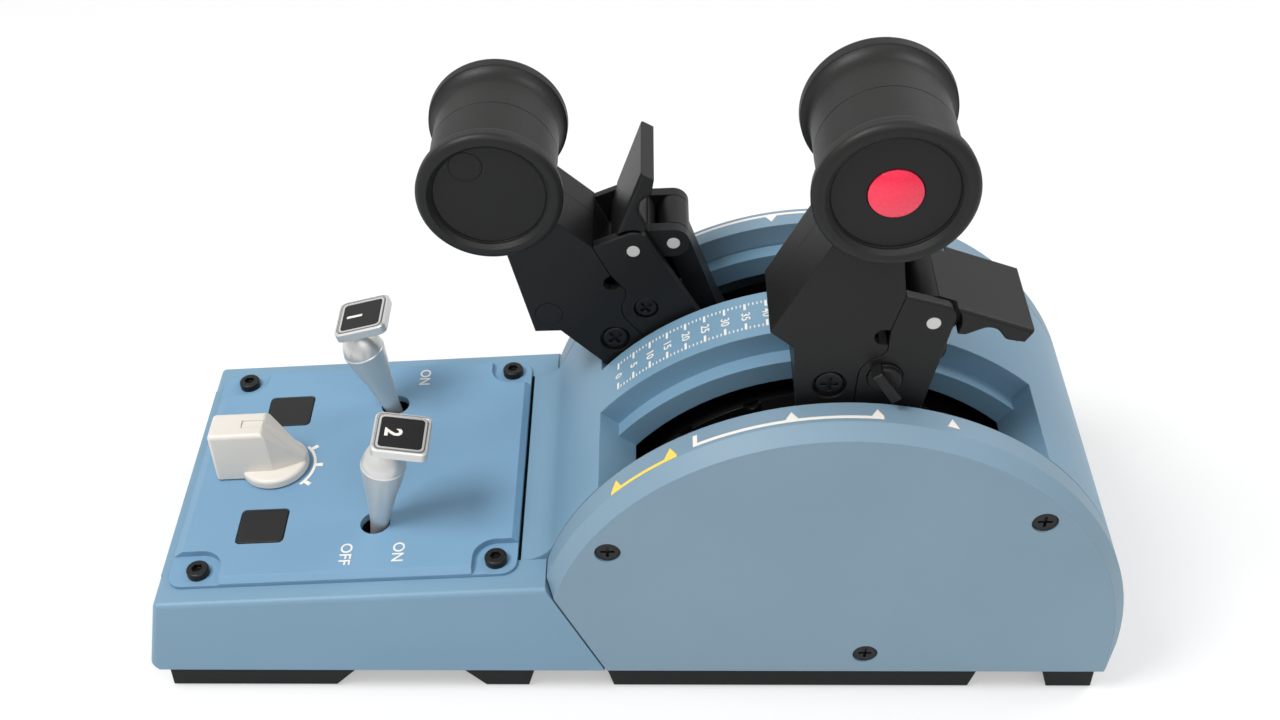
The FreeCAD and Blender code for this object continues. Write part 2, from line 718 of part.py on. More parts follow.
def panel_switches():
    """Switch housings between plate and board: two toggles, the selector, two push switches."""
    housings = []
    for side in (-1, 1):
        y = side * toggle_y
        body = slab(toggle_at - 7, toggle_at + 7, y - 4.4, y + 4.4, board_top, -0.05)
        collar = post(toggle_at, y, collar_outer_r, -1, collar_top)
        well = post(toggle_at, y, switch_bore_r, board_top + 1.5, 2)
        housings.append(cut(fuse(body, collar), well))
        y = side * button_y
        base = slab(button_at - 3, button_at + 3, y - 3, y + 3, board_top, board_top + 1.8)
        housings.append(fuse(base, post(button_at, y, 1.5, board_top + 1, key_top)))
    body = slab(mode_at - 7, mode_at + 7, -6.5, 6.5, board_top, -0.05)
    bore = post(mode_at, 0, mode_shaft_r + mode_bore_gap, board_top + 1.5, 1)
    housings.append(body.cut(bore))
    return [on_deck(h) for h in housings]


def mode_knob():
    """Bar knob with a wedge nose on a round flange, nose forward at the middle position."""
    z0 = plate_height + mode_lift
    top = plate_height + mode_height
    half = mode_bar_width / 2
    flange = post(mode_at, 0, mode_flange_r, z0, z0 + 2.4)
    flange = flange.makeFillet(1.0, picked(flange, lambda p: p.z > z0 + 2.3))
    tail_x = mode_at - mode_tail
    bar = outline([(tail_x, z0), (tail_x + 0.6, top), (mode_at - 0.4, top),
                   (mode_at + mode_flange_r - 0.3, z0 + 3.4), (mode_at + mode_flange_r - 0.3, z0)],
                  -half, half)
    # the nose narrows to a rounded point
    nose = mode_at + mode_flange_r
    plan = [V(tail_x - 1, -half, 0), V(mode_at + 0.5, -half, 0), V(nose, -1.2, 0), V(nose, 1.2, 0),
            V(mode_at + 0.5, half, 0), V(tail_x - 1, half, 0)]
    plan_face = Part.Face(Part.makePolygon(plan + plan[:1]))
    plan_face.translate(V(0, 0, z0))
    bar = bar.common(plan_face.extrude(V(0, 0, mode_height + 2)))
    bar = bar.makeFillet(mode_edge_r, picked(bar, lambda p: p.z > top - 0.2 and p.x < mode_at
                                     or abs(p.x - tail_x - 0.3) < 0.4 and abs(p.z - (z0 + top) / 2) < 1))
    groove = outline([(mode_at - 6, top + 1), (mode_at - 6, top - 0.35), (mode_at - 0.6, top - 0.35),
                      (nose, z0 + 2.9), (nose + 1, top + 1)], -1.3, 1.3)
    knob = fuse(flange, bar).cut(groove)
    bore = post(mode_at, 0, mode_shaft_r + seat, z0 - 1, z0 + 8)
    return on_deck(knob.cut(bore))


def mode_shaft():
    return on_deck(post(mode_at, 0, mode_shaft_r, board_top + 2, plate_height + mode_lift + 7.5))


def circuit_board():
    m = panel_opening_margin
    board = slab(plate_aft + m + 1, plate_fore - m - 1, m + 4 - plate_width / 2, plate_width / 2 - m - 4,
                 board_top - board_thickness, board_top)
    return on_deck(board)


# ---- Fixed frames inside the dome ----------------------------------------
def windows(y0, y1):
    holes = []
    for a in window_angles:
        holes.append(rod(*polar(window_ring, a), window_r, y0, y1))
    return holes


def arch(radius, y0, y1):
    """Half disc about the axle that runs straight down to the floor."""
    points = [(pivot_x - radius, floor_z), (pivot_x - radius, pivot_z),
              (pivot_x, pivot_z + radius, pivot_x + radius, pivot_z), (pivot_x + radius, floor_z)]
    return outline(points, y0, y1)


def side_frame(side):
    y0, y1 = between(side, frame_y, frame_y + frame_thickness)
    plate = cut(arch(frame_radius, y0, y1), *windows(y0 - 1, y1 + 1))
    foot = slab(pivot_x - frame_radius, pivot_x + frame_radius, *between(side, frame_y, frame_foot_y),
                floor_z, floor_z + foot_height)
    boss = rod(pivot_x, pivot_z, frame_boss_r, y0, y1)
    low_x = pivot_x + low_screw_x_offset
    lug = rod(low_x, low_screw_z, lug_r, *between(side, frame_y, seam_y))
    frame = fuse(plate, foot, boss, lug)
    floor_cut = slab(x_aft, x_fore, -half_width, half_width, 0, floor_z)
    return cut(frame, rod(pivot_x, pivot_z, axle_r + seat, y0 - 1, y1 + 1), floor_cut,
               rod(low_x, low_screw_z, cover_pilot_r, *between(side, frame_y - 2, seam_y + 1)))


def centre_frame():
    web = cut(arch(frame_radius, -web_half, web_half), *windows(-web_half - 1, web_half + 1))
    rim = sector(frame_radius - centre_rim, frame_radius, -78, 78, -centre_half, centre_half)
    boss = rod(pivot_x, pivot_z, hub_r, -centre_half, centre_half)
    foot = slab(pivot_x - frame_radius, pivot_x + frame_radius, -centre_half, centre_half,
                floor_z, floor_z + foot_height)
    frame = fuse(web, rim, boss, foot)
    floor_cut = slab(x_aft, x_fore, -half_width, half_width, 0, floor_z)
    return cut(frame, rod(pivot_x, pivot_z, axle_r + seat, -half_width, half_width), floor_cut)


def detent_plate(side):
    y0, y1 = between(side, centre_half, centre_half + detent_thickness)
    plate = sector(detent_inner_r, detent_outer_r, detents[0] - 12, detents[-1] + 12, y0, y1)
    notches = [rod(*polar(detent_outer_r + 0.8, a), detent_notch_r, y0 - 1, y1 + 1) for a in detents]
    return cut(plate, *notches)


def washers():
    rings = []
    hub_in = lever_y - hub_width / 2
    hub_out = lever_y + hub_width / 2
    for side in (-1, 1):
        for a, b in ((centre_half, hub_in - 0.05), (hub_out + 0.05, frame_y)):
            y0, y1 = between(side, a, b)
            rings.append(rod(pivot_x, pivot_z, hub_r - 0.6, y0, y1).cut(
                rod(pivot_x, pivot_z, axle_r + seat, y0 - 1, y1 + 1)))
    return rings


def axle():
    end = frame_y + frame_thickness + 0.6
    shaft = rod(pivot_x, pivot_z, axle_r, -end, end)
    return shaft.makeChamfer(0.6, picked(shaft, lambda p: abs(abs(p.y) - end) < 0.01))


def usb_socket():
    """Cable inlet in the nose, standing on the floor."""
    half_y = socket_width / 2 - 0.15
    half_z = socket_height / 2 - 0.15
    face_x = x_fore - 0.8
    body = slab(face_x - socket_depth, face_x, -half_y, half_y, socket_z - half_z, socket_z + half_z)
    leg = slab(face_x - socket_depth, face_x - wall - 1, -half_y, half_y, floor_z, socket_z)
    mouth = slab(face_x - 6, face_x + 1, -4.5, 4.5, socket_z - 1.6, socket_z + 1.6)
    mouth = mouth.makeFillet(1.5, picked(mouth, lambda p: abs(p.x - (face_x - 2.5)) < 0.01))
    tongue = slab(face_x - 6.5, face_x - 1, -3.3, 3.3, socket_z - 0.35, socket_z + 0.35)
    return fuse(fuse(body, leg).cut(mouth), tongue)


# ---- Levers ---------------------------------------------------------------
# Built upright about the axle at the origin (x is u, z is v), centred on Y = 0,
# then turned to the rest angle and moved to its side of the housing.
def place(n, shape):
    shape = shape.copy()
    shape.rotate(V(0, 0, 0), V(0, 1, 0), lever_tilts[n])
    shape.translate(V(pivot_x, lever_y if n == 1 else -lever_y, pivot_z))
    return shape


def outer_side(n):
    """Side of a lever that faces away from the middle: left for lever 1, right for lever 2."""
    return 1 if n == 1 else -1


def seam_line(shift):
    """Front edge of the half shells, from the top corner down; covers start behind it."""
    r = lock_seam_r
    mid = (lock_u - r * 0.92 + shift, lock_v + r * 0.39)
    return [(6.8 + shift, pin_v + 7.2), (4.7 + shift, pin_v - 2.3), (4.7 + shift, pin_v - 8.1),
            (3.5 + shift, lock_v + 6.1), (1.3 + shift, lock_v + 4.8),
            mid + (lock_u - r + shift, lock_v), (lock_u - r + shift, lever_foot_v)]


def lever_outline():
    top = knob_at - core_r
    back = [(-14.0, lever_foot_v), (-16.2, dome_radius + 13.5), (-21.8, dome_radius + 17.7),
            (-10.6, knob_at - 16.6), (-6.5, top), (2.8, top), (4.7, knob_at - 18.2)]
    return back + seam_line(-part_gap)


def shell_cavity():
    top = knob_at - core_r + 1
    link_top = dome_radius + 13.3
    return [(-11.8, lever_foot_v - 1), (-13.9, dome_radius + 12.7), (-18.9, dome_radius + 17.9),
            (-8.4, knob_at - 17.6), (-4.2, top), (0.8, top), (2.5, knob_at - 18.6), (4.4, pin_v + 7.1),
            (2.5, pin_v - 2.1), (2.5, link_top), (12.0, link_top), (12.0, lever_foot_v - 1)]


def lever_shells(n):
    """Right and left half shells, split off the middle, cut to the knob's barrel."""
    body = outline(lever_outline(), -half_lever, half_lever)
    body = body.makeFillet(0.8, picked(body, lambda p: abs(abs(p.y) - half_lever) < 0.01 and (
        p.x < -14.5 and p.z > dome_radius + 12.5
        or -19 < p.x < -12 and dome_radius + 21.5 < p.z < knob_at - 20)))
    inside = outline(shell_cavity(), lever_wall - half_lever, half_lever - lever_wall)
    barrel = rod(0, knob_at, barrel_r + 0.05, -half_lever - 1, half_lever + 1)
    reliefs = []
    for side in (-1, 1):
        reliefs.append(rod(0, knob_at, barrel_r + shoulder_relief,
                           *between(side, half_lever - 1.6, half_lever + 1)))
    slot_mid = pin_v - 4.4
    stop_slot = outline([(3.3, slot_mid + 2.1), (1.2, slot_mid, 3.3, slot_mid - 2.1), (8, slot_mid - 2.1),
                         (8, slot_mid + 2.1)], -half_lever - 1, half_lever + 1)
    screw_holes = []
    for side in (-1, 1):
        screw_holes.append(rod(body_screw_u, body_screw_v, body_screw_r + body_screw_room,
                               *between(side, half_lever - 1.3, half_lever + 1)))
    screw_holes.append(rod(body_screw_u, body_screw_v, 1.7, -half_lever, half_lever))
    body = cut(body, inside, barrel, *reliefs, stop_slot, *screw_holes)
    inner = -outer_side(n)
    plug = rod(side_plug_u, side_plug_v, side_plug_r + plug_gap,
               *between(inner, half_lever - side_plug_depth, half_lever + 1))
    body = body.cut(plug)
    right = body.common(slab(-beyond, beyond, -beyond, split_y - 0.05, 0, beyond))
    left = body.common(slab(-beyond, beyond, split_y + 0.05, beyond, 0, beyond))
    return right, left


def side_plate(n, side):
    """Cover over the paddle's link: clear of the paddle's root, round behind its lock or screw."""
    low_corner = (18.6, pin_v + 1.3)
    front = [(16.3, pin_v + 4.7), (17.9, pin_v + 3.5) + low_corner, (14.4, lever_foot_v)]
    seam = seam_line(0)
    back = [seam[6], seam[5][2:4], seam[5][:2] + seam[4], seam[3], seam[2], seam[1], seam[0]]
    points = front + back
    y0, y1 = between(side, half_lever - plate_t, half_lever)
    plate = outline(points, y0, y1)
    top_edge = picked(plate, lambda p: abs(p.y - side * half_lever) < 0.01 and p.x > 7
                      and (p.z > pin_v + 1.5 or abs(p.z - (low_corner[1] + lever_foot_v) / 2) < 1))
    plate = plate.makeFillet(0.6, top_edge)
    tools = [rod(pin_u, pin_v, pin_r + seat, -beyond, beyond)]
    if side == outer_side(n):
        tools.append(rod(lock_u, lock_v, lock_r + fit, *between(side, half_lever - 1.4, half_lever + 1)))
        tools.append(rod(lock_u, lock_v, lock_shaft_r + fit, -beyond, beyond))
    else:
        tools.append(rod(lock_u, lock_v, cover_recess_r, *between(side, half_lever - 1.4, half_lever + 1)))
        tools.append(rod(lock_u, lock_v, 1.45, -beyond, beyond))
    return cut(plate, *tools)


def arm(n):
    """Hub, ribbed web and neck, the spine inside the shells and the round core of the knob."""
    hub = rod(0, 0, hub_r, -hub_width / 2, hub_width / 2)
    half = arm_width / 2

    def ray(r, a):
        return (r * math.sin(math.radians(a)), r * math.cos(math.radians(a)))

    root = hub_r - 2
    web = outline([ray(root, -60), ray(arm_sweep_r, arm_aft), ray(arm_sweep_r, (arm_aft + arm_front) / 2)
                   + ray(arm_sweep_r, arm_front), ray(root, 60)], -arm_web / 2, arm_web / 2)
    pieces = [web]
    rim = outline([ray(arm_sweep_r - 2.2, arm_aft), ray(arm_sweep_r, arm_aft),
                   ray(arm_sweep_r, (arm_aft + arm_front) / 2) + ray(arm_sweep_r, arm_front),
                   ray(arm_sweep_r - 2.2, arm_front)], -half, half)
    pieces.append(rim)
    for a in (arm_aft + 2, arm_aft + 9, arm_front - 2):
        rib = slab(-1.1, 1.1, -half, half, hub_r - 0.5, arm_sweep_r - 0.8)
        rib.rotate(V(0, 0, 0), V(0, 1, 0), a)
        pieces.append(rib)
    top = knob_at - 12
    neck = outline([(neck_back, arm_sweep_r - 6), (neck_back, dome_radius + 10.5), (-6.8, top - 8), (-4, top),
                    (0.5, top), (1.8, top - 7), (1.8, dome_radius + 12.5), (neck_front, dome_radius + 9),
                    (neck_front, arm_sweep_r - 6)], -half, half)
    pieces.append(neck)
    boss = rod(lock_u, lock_v, lock_boss_r, -boss_half, boss_half)
    core = rod(0, knob_at, core_r, -core_half, core_half)
    stem = outline([(-4.5, top - 2), (-4.5, top + 7), (1.5, top + 7), (1.5, top - 2)], -half + 1, half - 1)
    pieces += [boss, core, stem]
    for side in (-1, 1):
        cheek = outline([(neck_front - 1, arm_sweep_r + 8), (12.0, arm_sweep_r + 6.5),
                         (13.0, arm_sweep_r - 4), (neck_front - 1, arm_sweep_r - 6)],
                        *between(side, guide_half, half))
        pieces.append(cheek)
    body = fuse(hub, *pieces)
    tools = [rod(0, 0, axle_r + axle_gap, -beyond, beyond), rod(0, knob_at, core_r - 2.5, -beyond, beyond),
             rod(body_screw_u, body_screw_v, 1.4, -beyond, beyond), rod(lock_u, lock_v, lock_shaft_r + 0.05, -beyond, beyond)]
    roller_y = arm_width / 2 - 4
    inner = -outer_side(n)
    tools.append(rod(0, roller_at, roller_r + 0.5, *between(inner, roller_y + 1, beyond)))
    tools.append(rod(0, roller_at, 1.2, *between(inner, roller_y - 3, beyond)))
    return body.cut(Part.Compound(tools))


def detent_roller(n):
    """Roller that runs along the notched detent plate, on its pin in the arm."""
    inner = -outer_side(n)
    plate_mid = lever_y - centre_half - detent_thickness / 2
    end = plate_mid + 0.35
    roller = rod(0, roller_at, roller_r, *between(inner, arm_width / 2 - 2.8, end))
    pin = rod(0, roller_at, 1.18, *between(inner, arm_width / 2 - 6.5, end - 0.2))
    return fuse(roller, pin)


def lever_screws(n):
    """Pan-head screws: one through each half shell, one through the inner side plate."""
    screws = []
    for side in (-1, 1):
        screws.append(pan_screw(body_screw_u, body_screw_v, side, body_screw_r, half_lever - 0.3, 1.35))
    screws.append(pan_screw(lock_u, lock_v, -outer_side(n), cover_head_r, half_lever - 0.4, 1.25))
    return screws


def pan_screw(u, v, side, head_r, face, shank_r):
    head = rod(u, v, head_r, *between(side, face - 1.0, face))
    head = head.makeFillet(0.6, picked(head, lambda p: abs(p.y - side * face) < 0.01))
    shank = rod(u, v, shank_r, *between(side, 3.0, face - 1.0))
    reach = head_r * 0.6
    slot_a = slab(u - reach, u + reach, *between(side, face - 0.7, face + 1), v - 0.45, v + 0.45)
    slot_b = slab(u - 0.45, u + 0.45, *between(side, face - 0.7, face + 1), v - reach, v + reach)
    return cut(fuse(head, shank), slot_a, slot_b)


def twist_lock(n):
    """Quarter-turn fastener with a finger ridge, on the outer side plate."""
    side = outer_side(n)
    disc = rod(lock_u, lock_v, lock_r, *between(side, half_lever - 1.3, half_lever + 0.4))
    shaft = rod(lock_u, lock_v, lock_shaft_r, *between(side, 3.0, half_lever - 1.0))
    ridge = slab(-lock_r - 0.4, lock_r + 0.8, *between(side, half_lever, half_lever + lock_ridge), -1.2, 1.2)
    ridge = ridge.makeFillet(0.6, picked(ridge, lambda p: abs(p.y - side * (half_lever + lock_ridge)) < 0.01))
    step = rod(0, 0, lock_r - 0.2, *between(side, half_lever, half_lever + lock_step))
    step = step.common(slab(-lock_r, lock_r, -beyond, beyond, 0, lock_r))
    step = step.makeFillet(0.7, picked(step, lambda p: abs(p.y - side * (half_lever + lock_step)) < 0.01
                                       and p.z > 1))
    grip = fuse(ridge, step)
    grip.rotate(V(0, 0, 0), V(0, 1, 0), -lock_turn)
    grip.translate(V(lock_u, 0, lock_v))
    return fuse(disc, shaft, grip)


def paddle(n):
    """Reverser paddle: wide finger plate with scallops below, hub on its pin, two ears for the strut."""
    ca, sa = math.cos(math.radians(paddle_slope)), math.sin(math.radians(paddle_slope))

    def at(along, up):
        return (pin_u + along * ca + up * sa, pin_v - along * sa + up * ca)

    tip = paddle_reach * ca + 1.4 * sa
    points = [at(0, paddle_face), at(tip, paddle_face), at(tip - 0.7, paddle_face - 3.5),
              at(tip - 5.2, paddle_face - 4.3), at(tip - 6.8, paddle_face - 3.2),
              at(tip - 9.0, paddle_face - 2.7) + at(tip - 11.2, paddle_face - 3.9),
              at(tip - 13.2, paddle_face - 5.9), at(0, paddle_face - 7.6)]
    wide = outline(points, -half_lever, half_lever)
    wide = wide.makeFillet(0.9, picked(wide, lambda p: abs(abs(p.y) - half_lever) < 0.01
                                       and p.x > pin_u + 8 and p.z > pin_v - 2))
    wide = wide.cut(rod(pin_u, pin_v, paddle_root_r, -beyond, beyond))
    wide = wide.common(slab(pin_u + 1, beyond, -beyond, beyond, 0, beyond))
    half = half_lever - plate_t - side_gap
    neck = outline([at(-1, paddle_face), at(6.5, paddle_face), at(6.0, paddle_face - 6.8),
                    (pin_u, pin_v - 5.2)], -half, half)
    hub = rod(pin_u, pin_v, paddle_face, -half, half)
    bu, bv = strut_pin_place()
    ears = []
    for side in (-1, 1):
        y0, y1 = between(side, half - ear_width, half)
        bar = slab(-ear_r, ear_r, y0, y1, 0, ear_length)
        bar.rotate(V(0, 0, 0), V(0, 1, 0), 90 - ear_angle)
        bar.translate(V(pin_u, 0, pin_v))
        ears += [bar, rod(bu, bv, ear_r, y0, y1)]
    body = fuse(wide, neck, hub, *ears)
    body = cut(body, rod(pin_u, pin_v, pin_r + pin_gap, -beyond, beyond), rod(bu, bv, pin_r + seat, -beyond, beyond))
    return lifted(n, body)


def strut_pin_place():
    a = math.radians(ear_angle)
    return (pin_u + ear_length * math.cos(a), pin_v + ear_length * math.sin(a))


def lifted(n, shape):
    """Lever 1 rests with its paddle raised."""
    if n == 1:
        shape = shape.copy()
        shape.rotate(V(pin_u, 0, pin_v), V(0, 1, 0), -paddle_lift)
    return shape


def strut(n):
    """Pull strut from the paddle's ears down between the arm's guide cheeks."""
    half = half_lever - plate_t - side_gap - ear_width - side_gap
    eye = rod(0, 0, ear_r, -half, half)
    w = strut_width / 2
    shank = outline([(-strut_half, -strut_length), (-strut_half, -2), (strut_half, -2),
                     (strut_half, 8 - strut_length), (strut_half + strut_toe, 1 - strut_length),
                     (strut_half, -strut_length)], -w, w)
    body = fuse(eye, shank).cut(rod(0, 0, pin_r + pin_gap, -beyond, beyond))
    body = body.cut(rod(0, 4 - strut_length, 1.5, -beyond, beyond))
    bu, bv = strut_pin_place()
    turn = strut_tilt
    if n == 1:
        turn += strut_follow * paddle_lift
    body.rotate(V(0, 0, 0), V(0, 1, 0), turn)
    body.translate(V(bu, 0, bv))
    if n == 1:
        lift = math.radians(paddle_lift)
        du, dv = bu - pin_u, bv - pin_v
        body.translate(V(du * math.cos(lift) - dv * math.sin(lift) - du, 0,
                         du * math.sin(lift) + dv * math.cos(lift) - dv))
    return body


def paddle_pin():
    return rod(pin_u, pin_v, pin_r, -half_lever - 0.1, half_lever + 0.1)


def strut_pin(n):
    half = half_lever - plate_t - side_gap
    return lifted(n, rod(*strut_pin_place(), pin_r, -half, half))


# ---- Knobs -----------------------------------------------------------------
def knob_y(n, y):
    """Distance along the knob from its middle, as Y in the lever's frame."""
    return y + outer_side(n) * -knob_shift


def knob_half(n, side):
    """Half of the spool: barrel with a rounded rim, hollow, with a core tube and an end wall."""
    r1 = flange_r
    floor = half_knob - recess_depth - disc_thickness
    start = half_knob - flange_width
    inner = barrel_r - 2.4
    core = core_r + 0.15
    lines = [(core, 0.1), (core + 1.8, 0.1), (core + 1.8, floor - 2.0), (inner, floor - 2.0), (inner, 0.1),
             (barrel_r, 0.1), (barrel_r - 0.12, start - 1.8)]
    pts = [V(r, y, 0) for r, y in lines]
    edges = [Part.LineSegment(a, b).toShape() for a, b in zip(pts, pts[1:])]
    # flared shoulder, then the rolled rim
    shoulder = V(r1 - 0.1 - rim_step, start + 1.3, 0)
    edges.append(Part.Arc(pts[-1], V(barrel_r + 0.3, start - 0.2, 0), shoulder).toShape())
    rim_start = V(r1 - 0.1, start + 1.3 + rim_step / 2, 0)
    edges.append(Part.LineSegment(shoulder, rim_start).toShape())
    rim_end = V(r1 - 1.5, half_knob, 0)
    crest = V(r1, half_knob - 2.0, 0)
    edges.append(Part.Arc(rim_start, V(r1 - 0.02, start + 2.2, 0), crest).toShape())
    edges.append(Part.Arc(crest, V(r1 - 0.4, half_knob - 0.5, 0), rim_end).toShape())
    tail = [rim_end, V(recess_r + recess_lip, half_knob, 0), V(recess_r, half_knob - recess_lip, 0),
            V(recess_r, floor, 0), V(core, floor, 0), pts[0]]
    edges += [Part.LineSegment(a, b).toShape() for a, b in zip(tail, tail[1:])]
    body = Part.Face(Part.Wire(edges)).revolve(V(0, 0, 0), V(0, 1, 0), 360)
    if side < 0:
        body = body.mirror(V(0, 0, 0), V(0, 1, 0))
    body.translate(V(0, knob_y(n, 0), knob_at))
    slot = slab(-8, 4, -arm_width / 2 - fit, arm_width / 2 + fit,
                knob_at - flange_r - 1, knob_at - core_r + 3)
    return body.cut(slot)


def knob_disc(n, side):
    y0, y1 = between(side, half_knob - recess_depth - disc_thickness, half_knob - recess_depth)
    disc = rod(0, knob_at, recess_r - disc_gap, knob_y(n, y0), knob_y(n, y1))
    face = knob_y(n, side * (half_knob - recess_depth))
    disc = disc.makeFillet(disc_edge_r, picked(disc, lambda p: abs(p.y - face) < 0.01))
    if side == outer_side(n):
        return disc.cut(rod(0, knob_at, red_button_r + 0.2, -beyond, beyond))
    pu, pv = plug_offset
    y0, y1 = between(side, half_knob - recess_depth - plug_depth, half_knob + 10)
    return disc.cut(rod(pu, knob_at + pv, plug_r + plug_gap, knob_y(n, y0), knob_y(n, y1)))


def red_button(n):
    """Domed button in the outer end, with a collar behind the disc."""
    face = half_knob - recess_depth
    back = face - disc_thickness
    r = red_button_r
    pts = [V(0, back - 2.4, 0), V(r + 1.1, back - 2.4, 0), V(r + 1.1, back - 0.2, 0), V(r, back - 0.2, 0),
           V(r, face + 0.2, 0)]
    edges = [Part.LineSegment(a, b).toShape() for a, b in zip(pts, pts[1:])]
    # the crown is a spherical cap, so its arc is centred on the button's axis
    crown = V(0, face + red_button_rise, 0)
    rise = crown.y - pts[-1].y
    ball = (r * r + rise * rise) / (2 * rise)
    half_angle = math.asin(r / ball) / 2
    mid = V(ball * math.sin(half_angle), crown.y - ball * (1 - math.cos(half_angle)), 0)
    edges.append(Part.Arc(pts[-1], mid, crown).toShape())
    edges.append(Part.LineSegment(crown, pts[0]).toShape())
    body = Part.Face(Part.Wire(edges)).revolve(V(0, 0, 0), V(0, 1, 0), 360)
    if outer_side(n) < 0:
        body = body.mirror(V(0, 0, 0), V(0, 1, 0))
    body.translate(V(0, knob_y(n, 0), knob_at))
    return body


def blank_plugs(n):
    """Flush plugs: one in the knob's inner disc, one in the lever's inner side."""
    inner = -outer_side(n)
    pu, pv = plug_offset
    face = half_knob - recess_depth
    y0, y1 = between(inner, face - plug_depth, face + plug_gap)
    knob_plug = rod(pu, knob_at + pv, plug_r, knob_y(n, y0), knob_y(n, y1))
    side_plug = rod(side_plug_u, side_plug_v, side_plug_r,
                    *between(inner, half_lever - side_plug_depth, half_lever + plug_gap))
    return [knob_plug, side_plug]


# ---- Write every piece ------------------------------------------------------
save("hood", hood_finished())
save("right_cover", side_cover(-1))
save("left_cover", side_cover(1))
save("cover_screws", *[cover_screw(s, x, z) for s in (-1, 1) for x, z in cover_screw_places()])
save("base_plate", base_plate())
save("foot_pads", *foot_pads(0, 0))
save("base_screws", *[base_screw(x, y) for x, y in base_screw_places()])
save("panel_plate", panel_plate())
save("panel_screws", *[panel_screw(x, y) for x, y in panel_screw_places()])
save("button_1", square_button(1))
save("button_2", square_button(-1))
save("toggle_1", toggle(1, -toggle_lean))
save("toggle_2", toggle(-1, toggle_lean))
save("panel_switches", *panel_switches())
save("mode_knob", mode_knob())
save("mode_shaft", mode_shaft())
save("circuit_board", circuit_board())
save("right_frame", side_frame(-1))
save("left_frame", side_frame(1))
save("centre_frame", centre_frame())
save("detent_plates", detent_plate(-1), detent_plate(1))
save("washers", *washers())
save("axle", axle())
save("usb_socket", usb_socket())

for n in (1, 2):
    name = "lever_%d_" % n
    right_shell, left_shell = lever_shells(n)
    save(name + "arm", place(n, arm(n)))
    save(name + "right_shell", place(n, right_shell))
    save(name + "left_shell", place(n, left_shell))
    save(name + "right_plate", place(n, side_plate(n, -1)))
    save(name + "left_plate", place(n, side_plate(n, 1)))
    save(name + "screws", *[place(n, s) for s in lever_screws(n)])
    save(name + "twist_lock", place(n, twist_lock(n)))
    save(name + "detent_roller", place(n, detent_roller(n)))
    save(name + "paddle", place(n, paddle(n)))
    save(name + "paddle_pin", place(n, paddle_pin()))
    save(name + "strut", place(n, strut(n)))
    save(name + "strut_pin", place(n, strut_pin(n)))
    save(name + "knob_right", place(n, knob_half(n, -1)))
    save(name + "knob_left", place(n, knob_half(n, 1)))
    save(name + "disc_right", place(n, knob_disc(n, -1)))
    save(name + "disc_left", place(n, knob_disc(n, 1)))
    save(name + "red_button", place(n, red_button(n)))
    save(name + "blank_plugs", *[place(n, p) for p in blank_plugs(n)])
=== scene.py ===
# %% [markdown]
# # A throttle quadrant, dressed for the studio
# The construction comes from CAD: every shell, lever, screw and switch is already in
# place and at its real size. This lesson gives those pieces their finishes, prints the
# markings on the housing, makes a few surfaces finer than the construction has them,
# and sets up a camera and soft light.
# Everything is in metres, +X forward, +Y to the left, +Z up.

# %% Load the frame
import json
import math

import bmesh
import bpy
import numpy as np
from mathutils import Matrix, Vector
from mathutils.bvhtree import BVHTree


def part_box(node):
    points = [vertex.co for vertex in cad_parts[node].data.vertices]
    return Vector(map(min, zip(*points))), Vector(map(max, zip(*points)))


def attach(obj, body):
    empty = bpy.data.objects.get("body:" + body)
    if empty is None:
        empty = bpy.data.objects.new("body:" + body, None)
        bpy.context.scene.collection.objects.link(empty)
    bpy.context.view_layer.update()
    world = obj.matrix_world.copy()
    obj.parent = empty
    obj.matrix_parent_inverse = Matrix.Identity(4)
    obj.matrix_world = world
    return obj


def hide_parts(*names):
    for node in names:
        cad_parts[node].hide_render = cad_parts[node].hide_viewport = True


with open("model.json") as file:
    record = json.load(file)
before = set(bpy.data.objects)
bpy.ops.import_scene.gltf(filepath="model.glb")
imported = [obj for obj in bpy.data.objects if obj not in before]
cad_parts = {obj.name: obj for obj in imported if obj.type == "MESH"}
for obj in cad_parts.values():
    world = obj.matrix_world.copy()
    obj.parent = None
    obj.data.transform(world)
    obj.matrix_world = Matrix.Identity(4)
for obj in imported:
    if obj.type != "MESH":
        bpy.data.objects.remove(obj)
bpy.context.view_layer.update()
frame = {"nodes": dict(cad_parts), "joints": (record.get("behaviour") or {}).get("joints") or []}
nodes = frame["nodes"]
joints = {j["name"]: j for j in frame["joints"]}
scene = bpy.context.scene

# %% [markdown]
# ## Where things are
# Each marking sits on a surface that the CAD already has, and that surface is worked
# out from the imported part: the lever axle gives the centre of the dome, the mode
# selector's axis gives the slope of the panel. Only the places and sizes of the marks
# along those surfaces are written here as numbers, in degrees and millimetres.

# %% The dome and the deck
MM = 0.001
ACROSS = np.array([0, 1.0, 0])
axle = np.array(joints["lever_2_tilt"]["pos_m"])
_, hood_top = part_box("hood")
dome_radius = hood_top.z - axle[2]

dial = np.array(joints["mode_selector_turn"]["pos_m"])
selector_axis = np.array(joints["mode_selector_turn"]["axis"])
up = selector_axis / np.linalg.norm(selector_axis)
along = np.array([up[2], 0.0, -up[0]])
print("dome radius mm:", round(dome_radius / MM, 2))
print("deck slope in degrees:", round(math.degrees(math.asin(-up[0])), 2))


def on_dome(angle, y, height):
    """Point on the dome: the radius plus a height, turned by the angle from upright about
    the axle, at a distance y across. Works on whole arrays; x, y, z in the last axis."""
    a = np.radians(angle)
    r = dome_radius + height
    return np.stack(np.broadcast_arrays(axle[0] + r * np.sin(a), y, axle[2] + r * np.cos(a)), -1)


def on_deck(x, y, height):
    """Point on the panel: x forward along the slope from the dial, y across, height above."""
    x, y, height = np.broadcast_arrays(x, y, height)
    return dial + x[..., None] * along + y[..., None] * ACROSS + height[..., None] * up

